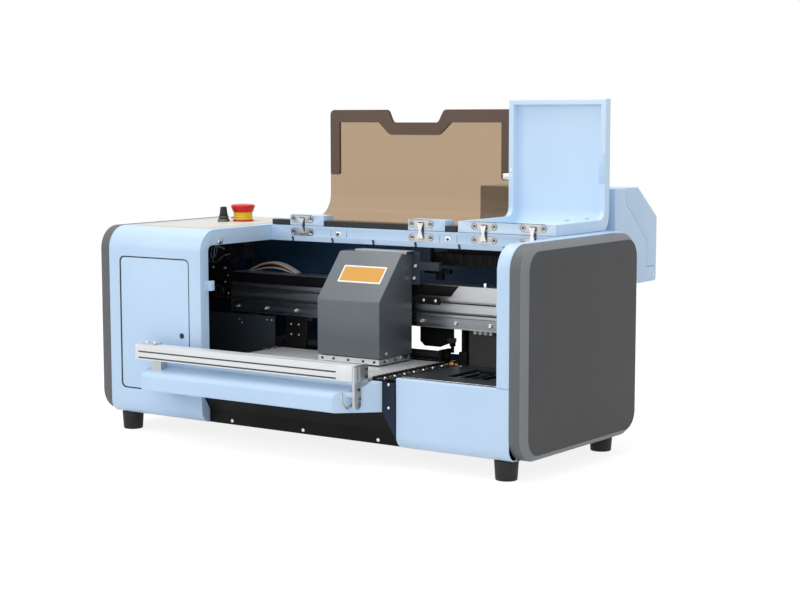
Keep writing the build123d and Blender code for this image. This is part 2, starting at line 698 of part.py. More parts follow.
with BuildPart() as side_lid:
    lid_section = [
        (BEAM_FACE, LID_BASE),
        (LID_BACK, LID_BASE, LID_BEND),
        (LID_BACK, LID_TOP, 3),
        (LID_BACK - LID_FACE_DEEP, LID_TOP, 3),
        (LID_BACK - LID_FACE_DEEP, LID_BASE + LID_BASE_HEIGHT, LID_BEND / 2),
        (BEAM_FACE, LID_BASE + LID_BASE_HEIGHT),
    ]
    prism(across(LID_LEFT), lid_section, LID_RIGHT - LID_LEFT)
    lid_hollow = [
        (BEAM_FACE + BEAM_WALL, LID_BASE + SKIN),
        (LID_BACK - SKIN, LID_BASE + SKIN, LID_BEND - SKIN),
        (LID_BACK - SKIN, LID_TOP - LID_RIM),
        (BEAM_FACE + BEAM_WALL, LID_TOP - LID_RIM),
    ]
    prism(
        across(LID_LEFT + LID_RIM), lid_hollow, LID_RIGHT - LID_LEFT - 2 * LID_RIM, Mode.SUBTRACT
    )
    add(lid_mortises.part, mode=Mode.SUBTRACT)

with BuildPart() as all_leaves:
    mirror(hinge_bases.part, about=turned_over())

with BuildPart() as cover_leaves:
    add(all_leaves.solids().sort_by(Axis.X)[:2])

with BuildPart() as lid_leaves:
    add(all_leaves.solids().sort_by(Axis.X)[2:])

with BuildPart() as cover_links:
    for x in HINGE_X[:2]:
        hinge_link(x)

with BuildPart() as lid_links:
    for x in HINGE_X[2:]:
        hinge_link(x)

CATCH_Z = (228.0, 243.0)
CATCH_FRONT = AXIS_Y * 2 - COVER_BACK + COVER_SHEET + 0.5
with BuildPart() as catches:
    prism(
        level(CATCH_Z[0]),
        [
            (OPENING_LEFT, 10),
            (OPENING_LEFT + 1.4, 10),
            (OPENING_LEFT + 1.4, CATCH_FRONT),
            (OPENING_LEFT + 5.5, CATCH_FRONT),
            (OPENING_LEFT + 5.5, CATCH_FRONT + 8),
            (OPENING_LEFT, CATCH_FRONT + 8),
        ],
        CATCH_Z[1] - CATCH_Z[0],
    )
    block((OPENING_RIGHT - 7, OPENING_RIGHT), (10, CATCH_FRONT + 8), CATCH_Z)

# Apron below the tray, the strip beside it, and the tray
with BuildPart() as front_apron:
    apron_section = [
        (0, APRON_TOP),
        (0, APRON_BEND),
        (APRON_SINK, APRON_FLANGE),
        (APRON_SINK, FOOT_HEIGHT),
        (LIP, FOOT_HEIGHT),
        (LIP, FOOT_HEIGHT + SHEET),
        (APRON_SINK + SHEET, FOOT_HEIGHT + SHEET),
        (APRON_SINK + SHEET, APRON_FLANGE + 1),
        (SHEET, APRON_BEND + 1),
        (SHEET, APRON_TOP),
    ]
    prism(across(OPENING_LEFT), apron_section, APRON_RIGHT - OPENING_LEFT)

with BuildPart() as apron_strip:
    strip_right = APRON_RIGHT - 0.5
    strip_left = strip_right - STRIP_WIDTH
    prism(
        facing(0),
        [
            (strip_left, TRAY_BACK),
            (strip_left, APRON_BEND),
            (strip_right, APRON_FLANGE - 3),
            (strip_right, TRAY_BACK),
        ],
        2,
    )

with BuildPart() as tray_core:
    prism(
        across(TRAY_LEFT + TRAY_WALL),
        [
            (-TRAY_WALL, TRAY_BOTTOM - 1),
            (-TRAY_REACH + TRAY_WALL, TRAY_BOTTOM - 1),
            (-TRAY_REACH + TRAY_WALL, TRAY_LIP - TRAY_WALL, 6),
            (-TRAY_WALL, TRAY_BACK - TRAY_WALL - 1),
        ],
        TRAY_RIGHT - TRAY_LEFT - 2 * TRAY_WALL,
    )
    prism(
        level(TRAY_BOTTOM - 2),
        [
            (TRAY_CORNER - TRAY_WALL, -TRAY_REACH - 1),
            (TRAY_RIGHT + 2, -TRAY_REACH - 1),
            (TRAY_RIGHT + 2, 1),
            (TRAY_RIGHT - TRAY_WALL, 1),
        ],
        60,
        Mode.SUBTRACT,
    )

BOSS_Y = BAR_FRONT + STRAP_WIDTH / 2
with BuildPart() as front_tray:
    prism(
        across(TRAY_LEFT),
        [
            (0, TRAY_BOTTOM),
            (-TRAY_REACH, TRAY_BOTTOM, 3),
            (-TRAY_REACH, TRAY_LIP, 9),
            (0, TRAY_BACK),
        ],
        TRAY_RIGHT - TRAY_LEFT,
    )
    prism(
        level(TRAY_BOTTOM - 1),
        [
            (TRAY_CORNER, -TRAY_REACH - 1),
            (TRAY_RIGHT + 1, -TRAY_REACH - 1),
            (TRAY_RIGHT + 1, 1),
            (TRAY_RIGHT, 0),
            (TRAY_CORNER, -TRAY_REACH),
        ],
        60,
        Mode.SUBTRACT,
    )
    add(tray_core.part, mode=Mode.SUBTRACT)
    rod(across(BAR_RIGHT - 14), (BOSS_Y, STRAP_SCREW_Z), 4.5, 14)

# Guide bar over the tray, with its post, its strap and the hook
with BuildPart() as guide_bar:
    block(
        (BAR_LEFT, BAR_RIGHT),
        (BAR_FRONT, BAR_FRONT + BAR_DEEP),
        (BAR_BOTTOM, BAR_BOTTOM + BAR_HEIGHT),
    )
    for groove_z in (BAR_BOTTOM + BAR_HEIGHT * 0.35, BAR_BOTTOM + BAR_HEIGHT * 0.68):
        block(
            (BAR_LEFT + 6, BAR_RIGHT - BAR_CAP),
            (BAR_FRONT - 1, BAR_FRONT + BAR_GROOVE_DEEP),
            (groove_z - BAR_GROOVE / 2, groove_z + BAR_GROOVE / 2),
            Mode.SUBTRACT,
        )
    block(
        (BAR_LEFT - 1, BAR_RIGHT - BAR_CAP),
        (BAR_FRONT + BAR_GROOVE_DEEP + BAR_WALL, BAR_FRONT + BAR_DEEP - BAR_WALL),
        (BAR_BOTTOM + BAR_WALL, BAR_BOTTOM + BAR_HEIGHT - BAR_WALL),
        Mode.SUBTRACT,
    )

POST_X = (TRAY_LEFT + 9.0, TRAY_LEFT + 29.0)
HOOK_Y = BAR_FRONT + BAR_DEEP / 2 - 2
with BuildPart() as bar_brackets:
    prism(
        across(POST_X[0]),
        [
            (BAR_FRONT + 4, tray_top(BAR_FRONT + 4)),
            (BAR_FRONT + 18, tray_top(BAR_FRONT + 18)),
            (BAR_FRONT + 18, BAR_BOTTOM),
            (BAR_FRONT + 4, BAR_BOTTOM),
        ],
        POST_X[1] - POST_X[0],
    )
    block(
        (POST_X[0] - 22, POST_X[0] + 6),
        (BAR_FRONT + 4, BAR_FRONT + BAR_DEEP),
        (BAR_BOTTOM + BAR_HEIGHT, BAR_BOTTOM + BAR_HEIGHT + 2.2),
    )
    prism(
        across(BAR_RIGHT),
        [
            (BAR_FRONT + 1, BAR_BOTTOM + BAR_HEIGHT),
            (BAR_FRONT + 1, STRAP_BOTTOM, 6),
            (BAR_FRONT + 1 + STRAP_WIDTH, STRAP_BOTTOM, 6),
            (BAR_FRONT + 1 + STRAP_WIDTH, tray_top(BAR_FRONT + STRAP_WIDTH) + 2),
            (-7, tray_top(-7) + 2),
            (-7, BAR_BOTTOM + BAR_HEIGHT),
        ],
        STRAP_THICK,
    )
    for hole_z in (BAR_BOTTOM + 5.5, BAR_BOTTOM + 16.5):
        rod(across(BAR_RIGHT - 1), (-13, hole_z), 2.2, STRAP_THICK + 2, Mode.SUBTRACT)
    rod(
        across(BAR_RIGHT - 1),
        (HOOK_Y, HOOK_Z),
        HOOK_WIRE + SHAFT_CLEARANCE,
        STRAP_THICK + 2,
        Mode.SUBTRACT,
    )

HOOK_X = BAR_RIGHT - 5
with BuildPart() as bar_hook:
    with BuildLine(Plane(origin=(0, FRONT, 0))) as hook_path:
        FilletPolyline(
            (BAR_RIGHT + STRAP_THICK + 1, HOOK_Y, HOOK_Z),
            (HOOK_X, HOOK_Y, HOOK_Z),
            (HOOK_X, HOOK_Y - HOOK_REACH * 0.62, HOOK_Z - 5),
            (HOOK_X, HOOK_Y - HOOK_REACH + 2, HOOK_Z + 5),
            (HOOK_X, HOOK_Y - HOOK_REACH + 2, HOOK_Z + HOOK_RISE),
            radius=[4, 7, 6],
        )
    with BuildSketch(Plane(origin=hook_path.line @ 0, z_dir=hook_path.line % 0)):
        Circle(HOOK_WIRE)
    sweep()
    rod(across(BAR_RIGHT + STRAP_THICK + PART_GAP), (HOOK_Y, HOOK_Z), 4, 1.6)

# Platen with its side rails
with BuildPart() as platen:
    block(
        (PLATEN_LEFT, PLATEN_RIGHT),
        (PLATEN_FRONT, PLATEN_REAR),
        (PLATEN_TOP - PLATEN_SHEET, PLATEN_TOP),
    )
    block(
        (PLATEN_LEFT, PLATEN_RIGHT),
        (SHEET, PLATEN_REAR - 2),
        (PLATEN_BOX, PLATEN_TOP - PLATEN_SHEET),
    )
    block(
        (PLATEN_LEFT + 3, PLATEN_RIGHT - 3),
        (SHEET + 3, PLATEN_REAR - 5),
        (PLATEN_BOX + 2, PLATEN_TOP - PLATEN_SHEET),
        Mode.SUBTRACT,
    )
    for leg_x in (PLATEN_LEFT + 20, PLATEN_RIGHT - 30):
        block((leg_x, leg_x + 10), (30, PLATEN_REAR - 12), (FLOOR_TOP, PLATEN_BOX))

with BuildPart() as platen_rails:
    rail_right = [
        (PLATEN_RIGHT, PLATEN_BOX),
        (PLATEN_RIGHT, PLATEN_TOP + 1),
        (PLATEN_RIGHT + 7, PLATEN_TOP + 1),
        (PLATEN_RIGHT + 7, PLATEN_TOP - 2),
        (PLATEN_RIGHT + PLATEN_RAIL, PLATEN_TOP - 2),
        (PLATEN_RIGHT + PLATEN_RAIL, PLATEN_BOX),
    ]
    prism(facing(PLATEN_REAR), rail_right, PLATEN_REAR - SHEET)
    block((PLATEN_LEFT - 6, PLATEN_LEFT), (SHEET, PLATEN_REAR), (PLATEN_BOX, PLATEN_TOP + 1))

# Beam, guide rail, supports, motor, belt and pulleys
with BuildPart() as beam:
    block(
        (RUNWAY_LEFT, RUNWAY_RIGHT),
        (RUNWAY_FRONT, RUNWAY_FRONT + RUNWAY_DEEP),
        (RUNWAY_BOTTOM, RUNWAY_TOP),
    )
    belt_radius = BELT_INNER + BELT_THICK / 2
    for groove_z in (BELT_Z - belt_radius, BELT_Z + belt_radius):
        block(
            (RUNWAY_LEFT - 1, RUNWAY_RIGHT + 1),
            (RUNWAY_FRONT - 1, RUNWAY_FRONT + 3),
            (groove_z - 2.2, groove_z + 2.2),
            Mode.SUBTRACT,
        )
    middle = (RUNWAY_BOTTOM + RUNWAY_TOP) / 2
    for low, high in ((RUNWAY_BOTTOM, middle), (middle, RUNWAY_TOP)):
        block(
            (RUNWAY_LEFT - 1, RUNWAY_RIGHT + 1),
            (RUNWAY_FRONT + 2 * RUNWAY_WALL, RUNWAY_FRONT + RUNWAY_DEEP - RUNWAY_WALL),
            (low + RUNWAY_WALL, high - RUNWAY_WALL),
            Mode.SUBTRACT,
        )
    rod(facing(RUNWAY_FRONT), (IDLE_X, BELT_Z), STUD, RUNWAY_FRONT - BELT_FRONT + 3)

with BuildPart() as guide_rail:
    rail_section = [
        (RUNWAY_FRONT, RAIL_BOTTOM),
        (RUNWAY_FRONT, RAIL_TOP),
        (RAIL_FRONT + 5, RAIL_TOP),
        (RAIL_FRONT + 3.5, RAIL_TOP - 1.5),
        (RAIL_FRONT + 2, RAIL_TOP),
        (RAIL_FRONT, RAIL_TOP),
        (RAIL_FRONT, RAIL_BOTTOM),
        (RAIL_FRONT + 2, RAIL_BOTTOM),
        (RAIL_FRONT + 3.5, RAIL_BOTTOM + 1.5),
        (RAIL_FRONT + 5, RAIL_BOTTOM),
    ]
    prism(across(RAIL_LEFT), rail_section, RAIL_RIGHT - RAIL_LEFT)

POST_SPANS = ((RUNWAY_LEFT + 3, RUNWAY_LEFT + 31), (RUNWAY_RIGHT - 52, RUNWAY_RIGHT - 12))
POST_Y = (RUNWAY_FRONT + 7, RUNWAY_FRONT + 35)
with BuildPart() as beam_supports:
    for span in POST_SPANS:
        block(span, POST_Y, (FLOOR_TOP, RUNWAY_BOTTOM))
        block(
            (span[0] + SKIN, span[1] - SKIN),
            (POST_Y[0] + SKIN, POST_Y[1] + 1),
            (FLOOR_TOP - 1, RUNWAY_BOTTOM - SKIN),
            Mode.SUBTRACT,
        )
    block(
        (DRIVE_X - MOTOR / 2 - 2, RUNWAY_LEFT - 1),
        (RUNWAY_FRONT - 0.5, RUNWAY_FRONT - 0.5 + MOTOR_PLATE),
        (FLOOR_TOP, 252),
    )
    rod(facing(RUNWAY_FRONT + 5), (DRIVE_X, BELT_Z), 11.3, 10, Mode.SUBTRACT)

MOTOR_FRONT = RUNWAY_FRONT - 0.5 + MOTOR_PLATE
with BuildPart() as carriage_motor:
    block(
        (DRIVE_X - MOTOR / 2, DRIVE_X + MOTOR / 2),
        (MOTOR_FRONT, MOTOR_FRONT + MOTOR_LENGTH),
        (BELT_Z - MOTOR / 2, BELT_Z + MOTOR / 2),
    )
    chamfer(carriage_motor.edges().filter_by(Axis.Y), 4)
    rod(facing(MOTOR_FRONT), (DRIVE_X, BELT_Z), 11, 2)
    rod(facing(MOTOR_FRONT + 14), (DRIVE_X, BELT_Z), SHAFT + SHAFT_CLEARANCE, 20, Mode.SUBTRACT)

with BuildPart() as drive_belt:
    with BuildSketch(facing(BELT_FRONT + BELT_WIDTH)):
        with Locations(((DRIVE_X + IDLE_X) / 2, BELT_Z)):
            SlotCenterToCenter(IDLE_X - DRIVE_X, 2 * (BELT_INNER + BELT_THICK))
            SlotCenterToCenter(IDLE_X - DRIVE_X, 2 * BELT_INNER, mode=Mode.SUBTRACT)
    extrude(amount=BELT_WIDTH)


def pulley(x, bore):
    """A flanged belt pulley on an axis along the depth."""
    rod(facing(BELT_FRONT + BELT_WIDTH + 0.1), (x, BELT_Z), BELT_INNER - PULLEY_CLEARANCE, BELT_WIDTH + 0.2)
    for y in (BELT_FRONT - 0.1, BELT_FRONT + BELT_WIDTH + 0.9):
        rod(facing(y), (x, BELT_Z), PULLEY_FLANGE, 0.8)
    if bore:
        rod(facing(BELT_FRONT + BELT_WIDTH + 2), (x, BELT_Z), bore, BELT_WIDTH + 5, Mode.SUBTRACT)


with BuildPart() as drive_pulley:
    pulley(DRIVE_X, 0)
    rod(facing(MOTOR_FRONT + 12), (DRIVE_X, BELT_Z), SHAFT, MOTOR_FRONT + 12 - BELT_FRONT + 2)

with BuildPart() as idle_pulley:
    pulley(IDLE_X, STUD + SHAFT_CLEARANCE)

# Carriage
carriage_outline = [
    (CARRIAGE_REAR, CARRIAGE_BOTTOM),
    (CARRIAGE_FRONT, CARRIAGE_BOTTOM),
    (CARRIAGE_FRONT, CARRIAGE_BEND, 3),
    (CARRIAGE_CREST, CARRIAGE_TOP, 4),
    (CARRIAGE_REAR, CARRIAGE_TOP),
]
carriage_inside = [
    (CARRIAGE_REAR + 1, CARRIAGE_BOTTOM - 1),
    (CARRIAGE_FRONT + CARRIAGE_SHEET, CARRIAGE_BOTTOM - 1),
    (CARRIAGE_FRONT + CARRIAGE_SHEET, CARRIAGE_BEND - 1, 2),
    (CARRIAGE_CREST + 1, CARRIAGE_TOP - CARRIAGE_SHEET, 3),
    (CARRIAGE_REAR + 1, CARRIAGE_TOP - CARRIAGE_SHEET),
]
with BuildPart() as carriage_cover:
    prism(across(CARRIAGE_LEFT), carriage_outline, CARRIAGE_RIGHT - CARRIAGE_LEFT)
    prism(
        across(CARRIAGE_LEFT + CARRIAGE_SHEET),
        carriage_inside,
        CARRIAGE_RIGHT - CARRIAGE_LEFT - 2 * CARRIAGE_SHEET,
        Mode.SUBTRACT,
    )

PLATE_X = (CARRIAGE_LEFT + CARRIAGE_SHEET, CARRIAGE_RIGHT - CARRIAGE_SHEET)
PLATE_Y = (CARRIAGE_REAR - CARRIAGE_PLATE, CARRIAGE_REAR)
with BuildPart() as carriage_plate:
    block(PLATE_X, PLATE_Y, (HEAD_PLATE_BOTTOM, CARRIAGE_TOP - CARRIAGE_SHEET))
    block(
        (CARRIAGE_LEFT + 22, CARRIAGE_RIGHT + 14),
        (CARRIAGE_REAR, CARRIAGE_REAR + SHEET),
        (240, CARRIAGE_TOP + SHEET),
    )
    block(
        (CARRIAGE_LEFT + 22, CARRIAGE_RIGHT + 3),
        (CARRIAGE_CREST + 8, CARRIAGE_REAR + SHEET),
        (CARRIAGE_TOP, CARRIAGE_TOP + SHEET),
    )
    block((CARRIAGE_RIGHT + 14, CARRIAGE_RIGHT + 48), (CARRIAGE_REAR, CARRIAGE_REAR + 8), (262, 274))
    for x in RUNNER_X:
        block(
            (x - RUNNER_LENGTH / 2, x + RUNNER_LENGTH / 2),
            (CARRIAGE_REAR, RUNNER_REAR),
            (RUNNER_BOTTOM, RUNNER_TOP),
        )
    block(
        (CARRIAGE_LEFT, CARRIAGE_RIGHT),
        (RAIL_FRONT - PART_GAP, RUNNER_REAR + 1),
        (RAIL_BOTTOM - PART_GAP, RAIL_TOP + PART_GAP),
        Mode.SUBTRACT,
    )
    clamp_low = BELT_Z + BELT_INNER + BELT_THICK + PART_GAP
    clamp_x = CARRIAGE_LEFT + 51.5
    block((clamp_x, clamp_x + 10), (CARRIAGE_REAR, RUNNER_REAR), (clamp_low, clamp_low + 10))

head_centre_x = (CARRIAGE_LEFT + CARRIAGE_RIGHT) / 2
head_centre_y = (CARRIAGE_FRONT + CARRIAGE_REAR) / 2
HEADS = [(head_centre_x + s * HEAD_PITCH / 2, head_centre_y) for s in (-1, 1)]
with BuildPart() as head_plate:
    block(
        (CARRIAGE_LEFT + 1, CARRIAGE_RIGHT - 1),
        (CARRIAGE_FRONT + 0.5, PLATE_Y[0]),
        (HEAD_PLATE_BOTTOM, HEAD_PLATE_TOP),
    )
    with BuildSketch(level(HEAD_PLATE_BOTTOM - 1)):
        with Locations(*HEADS):
            Rectangle(HEAD_WIDTH + 2 * PART_GAP, HEAD_DEEP + 2 * PART_GAP)
    extrude(amount=HEAD_PLATE_TOP - HEAD_PLATE_BOTTOM + 2, mode=Mode.SUBTRACT)
    block(
        (CARRIAGE_LEFT + 1.5, CARRIAGE_LEFT + 4),
        (CARRIAGE_FRONT + 6, PLATE_Y[0]),
        (HEAD_PLATE_TOP, HEAD_PLATE_TOP + 1),
    )

with BuildPart() as print_heads:
    for x, y in HEADS:
        block(
            (x - HEAD_WIDTH / 2, x + HEAD_WIDTH / 2),
            (y - HEAD_DEEP / 2, y + HEAD_DEEP / 2),
            (HEAD_BOTTOM, HEAD_PLATE_TOP),
        )
        block(
            (x - HEAD_WIDTH / 2 - 4, x + HEAD_WIDTH / 2 + 4),
            (y - HEAD_DEEP / 2 - 5, y + HEAD_DEEP / 2 + 5),
            (HEAD_PLATE_TOP, HEAD_PLATE_TOP + 26),
        )

# Film feed
with BuildPart() as feed_roller:
    rod(across(ROLLER_LEFT), (ROLLER_Y, FEED_Z), FEED_RADIUS, ROLLER_RIGHT - ROLLER_LEFT)
    shaft_left = FEED_MOTOR_X - 10
    rod(across(shaft_left), (ROLLER_Y, FEED_Z), FEED_SHAFT, BRACKET_RIGHT + 14 - shaft_left)
    rod(across(FEED_MOTOR_X + 5), (ROLLER_Y, FEED_Z), FEED_RADIUS, 13)
    rod(across(BRACKET_RIGHT + BRACKET_THICK + 1), (ROLLER_Y, FEED_Z), 6, 6)

with BuildPart() as pinch_roller:
    rod(across(ROLLER_LEFT), (ROLLER_Y, PINCH_Z), PINCH_RADIUS, ROLLER_RIGHT - ROLLER_LEFT)
    rod(
        across(BRACKET_LEFT - 2),
        (ROLLER_Y, PINCH_Z),
        PINCH_SHAFT,
        BRACKET_RIGHT + BRACKET_THICK - BRACKET_LEFT + 4,
    )

with BuildPart() as roller_brackets:
    for x in (BRACKET_LEFT, BRACKET_RIGHT):
        block(
            (x, x + BRACKET_THICK),
            (ROLLER_Y - 13, ROLLER_Y + 14),
            (FLOOR_TOP, PINCH_Z + 10),
        )
        rod(across(x - 1), (ROLLER_Y, FEED_Z), FEED_SHAFT + SHAFT_CLEARANCE, 8, Mode.SUBTRACT)
        rod(across(x - 1), (ROLLER_Y, PINCH_Z), PINCH_SHAFT + SHAFT_CLEARANCE, 8, Mode.SUBTRACT)
    block(
        (FEED_MOTOR_X, FEED_MOTOR_X + SKIN),
        (ROLLER_Y - MOTOR / 2, ROLLER_Y + MOTOR / 2),
        (FLOOR_TOP, FEED_Z + MOTOR / 2),
    )
    rod(across(FEED_MOTOR_X - 1), (ROLLER_Y, FEED_Z), 9, 6, Mode.SUBTRACT)

with BuildPart() as feed_motor:
    block(
        (FEED_MOTOR_X - MOTOR_LENGTH, FEED_MOTOR_X),
        (ROLLER_Y - MOTOR / 2, ROLLER_Y + MOTOR / 2),
        (FEED_Z - MOTOR / 2, FEED_Z + MOTOR / 2),
    )
    chamfer(feed_motor.edges().filter_by(Axis.X), 4)
    rod(across(FEED_MOTOR_X - 12), (ROLLER_Y, FEED_Z), FEED_SHAFT + SHAFT_CLEARANCE, 20, Mode.SUBTRACT)

# Guards, deck, capping unit and what stands on the floor
with BuildPart() as left_guard:
    block(GUARD_WIDE, (GUARD_FRONT, GUARD_FRONT + SHEET), (FLOOR_TOP, GUARD_TOP))
    block(GUARD_WIDE, (GUARD_FRONT - 10, GUARD_FRONT), (FLOOR_TOP, FLOOR_TOP + SHEET))

with BuildPart() as service_deck:
    block((DECK_LEFT, OPENING_RIGHT), (10, DECK_REAR), (DECK_TOP - 2, DECK_TOP))
    block(
        (CAP_X - CAP_WIDTH / 2 - 2, CAP_X + CAP_WIDTH / 2 + 2),
        (CAP_Y - CAP_DEEP / 2 - 2, CAP_Y + CAP_DEEP / 2 + 2),
        (DECK_TOP - 3, DECK_TOP + 1),
        Mode.SUBTRACT,
    )
    for x in (DECK_LEFT, OPENING_RIGHT - 2):
        block((x, x + 2), (30, DECK_REAR - 9), (FLOOR_TOP, DECK_TOP - 2))

with BuildPart() as capping_unit:
    block(
        (CAP_X - CAP_WIDTH / 2, CAP_X + CAP_WIDTH / 2),
        (CAP_Y - CAP_DEEP / 2, CAP_Y + CAP_DEEP / 2),
        (95, CAP_TOP - 3),
    )
    with BuildSketch(level(CAP_TOP - 3)):
        with Locations((CAP_X - 16, CAP_Y), (CAP_X + 16, CAP_Y)):
            Rectangle(24, 50)
            Rectangle(20, 46, mode=Mode.SUBTRACT)
    extrude(amount=3)
    with BuildSketch(level(FLOOR_TOP + PART_GAP)):
        with Locations((CAP_X, CAP_Y)):
            with GridLocations(CAP_WIDTH - 16, CAP_DEEP - 16, 2, 2):
                Circle(4)
    extrude(amount=95 - FLOOR_TOP - PART_GAP)

with BuildPart() as service_box:
    block((BOX_LEFT, BOX_RIGHT), (BOX_FRONT, BOX_REAR), (FLOOR_TOP, BOX_TOP))
    block(
        (BOX_LEFT + SHEET, BOX_RIGHT - SHEET),
        (BOX_FRONT + SHEET, BOX_REAR - SHEET),
        (FLOOR_TOP - 1, BOX_TOP - SHEET),
        Mode.SUBTRACT,
    )

with BuildPart() as power_supply:
    block(
        (BOX_LEFT + 10, BOX_RIGHT - 10),
        (BOX_FRONT + 10, BOX_REAR - 10),
        (FLOOR_TOP, FLOOR_TOP + 42),
    )

with BuildPart() as mainboard:
    board_x, board_y, board_z = -CASE_X + 81, DEPTH / 2 - 60, FLOOR_TOP + 10
    with BuildSketch(level(board_z)):
        with Locations((board_x, board_y)):
            Rectangle(137, 130)
    extrude(amount=BOARD)
    with BuildSketch(level(FLOOR_TOP)):
        with Locations((board_x, board_y)):
            with GridLocations(127, 120, 2, 2):
                Circle(3)
    extrude(amount=10)
    with BuildSketch(level(board_z + BOARD)):
        with Locations((board_x - 20, board_y - 20)):
            Rectangle(30, 30)
        with Locations((board_x + 35, board_y + 40)):
            Rectangle(40, 32)
    extrude(amount=10)

# Cables that the case holds
CABLE_X = RUNWAY_LEFT + 67.0
CABLE_CHORD, CABLE_RISE = 96.0, 17.0
CABLE_Y = (RUNWAY_FRONT + 22, RUNWAY_FRONT + 36)
CHAIN_X = (OPENING_RIGHT - 236.5, OPENING_RIGHT - 0.5)
CHAIN_Y = (RUNWAY_FRONT + 18, RUNWAY_FRONT + 43)
with BuildPart() as flat_cable:
    radius = (CABLE_CHORD**2 / 4 + CABLE_RISE**2) / (2 * CABLE_RISE)
    centre_z = RUNWAY_TOP + CABLE_RISE - radius
    with BuildSketch(facing(CABLE_Y[1])):
        with Locations((CABLE_X, centre_z)):
            Circle(radius)
            Circle(radius - 2.6, mode=Mode.SUBTRACT)
        with Locations((CABLE_X, RUNWAY_TOP - radius)):
            Rectangle(3 * radius, 2 * radius, mode=Mode.SUBTRACT)
    extrude(amount=CABLE_Y[1] - CABLE_Y[0])

with BuildPart() as cable_chain:
    block(CHAIN_X, CHAIN_Y, (268, 286))
    for i in range(11):
        x = CHAIN_X[0] + 14 + i * 20
        for z in (268, 284.5):
            block(
                (x - 1.5, x + 1.5),
                (CHAIN_Y[0] - 1, CHAIN_Y[1] + 1),
                (z - 0.1, z + 1.6),
                Mode.SUBTRACT,
            )
    block((CHAIN_X[0] + 20, CHAIN_X[1]), (CHAIN_Y[0] + 7, CHAIN_Y[1] - 7), (286, 290))
    block((CHAIN_X[1] - 60, CHAIN_X[1]), (CHAIN_Y[0] + 5, CHAIN_Y[1] - 5), (290, TOP - SKIN))

# Ink box, its lid and the bottles
with BuildPart() as ink_box:
    prism(
        across(INK_LEFT),
        [
            (DEPTH, INK_BOTTOM),
            (INK_REAR, INK_BOTTOM, 4),
            (INK_REAR, SEAM_END),
            (SEAM_REAR, SEAM_END),
            (SEAM_REAR, SEAM_LOW),
            (SEAM_FRONT, SEAM_KNEE),
            (SEAM_FRONT, INK_TOP),
            (INK_FRONT, INK_TOP),
            (INK_FRONT, INK_STEP),
            (DEPTH, INK_STEP),
        ],
        INK_RIGHT - INK_LEFT,
    )
    prism(
        across(INK_LEFT + SKIN),
        [
            (DEPTH + SKIN, INK_BOTTOM + SKIN),
            (INK_REAR - SKIN, INK_BOTTOM + SKIN),
            (INK_REAR - SKIN, INK_TOP - SKIN),
            (INK_FRONT + SKIN, INK_TOP - SKIN),
            (INK_FRONT + SKIN, INK_STEP - SKIN),
            (DEPTH + SKIN, INK_STEP - SKIN),
        ],
        INK_RIGHT - INK_LEFT - 2 * SKIN,
        Mode.SUBTRACT,
    )

with BuildPart() as ink_box_lid:
    prism(
        across(INK_LEFT),
        [
            (SEAM_FRONT + PART_GAP, INK_TOP),
            (INK_CREST, INK_TOP),
            (INK_REAR, INK_SHOULDER),
            (INK_REAR, SEAM_END + PART_GAP),
            (SEAM_REAR + PART_GAP, SEAM_END + PART_GAP),
            (SEAM_REAR + PART_GAP, SEAM_LOW + PART_GAP),
            (SEAM_FRONT + PART_GAP, SEAM_KNEE + PART_GAP),
        ],
        INK_RIGHT - INK_LEFT,
    )
    prism(
        across(INK_LEFT + SKIN),
        [
            (SEAM_FRONT - 1, INK_TOP - SKIN),
            (INK_CREST - 1, INK_TOP - SKIN),
            (INK_REAR - SKIN, INK_SHOULDER - 1.5),
            (INK_REAR - SKIN, SEAM_END - 1),
            (SEAM_FRONT - 1, SEAM_END - 1),
        ],
        INK_RIGHT - INK_LEFT - 2 * SKIN,
        Mode.SUBTRACT,
    )

with BuildPart() as ink_tanks:
    tank_floor = INK_BOTTOM + SKIN
    tank_y = INK_FRONT + SKIN + 8 + TANK_DEEP / 2
    middle_x = (INK_LEFT + INK_RIGHT) / 2
    tank_places = [
        (middle_x + (i - (TANK_COUNT - 1) / 2) * TANK_PITCH, tank_y) for i in range(TANK_COUNT)
    ]
    with BuildSketch(level(tank_floor)):
        with Locations(*tank_places):
            RectangleRounded(TANK_WIDTH, TANK_DEEP, 4)
    extrude(amount=TANK_HEIGHT)
    with BuildSketch(level(tank_floor + TANK_HEIGHT)):
        with Locations(*tank_places):
            Circle(TANK_CAP)
    extrude(amount=TANK_CAP_HEIGHT)

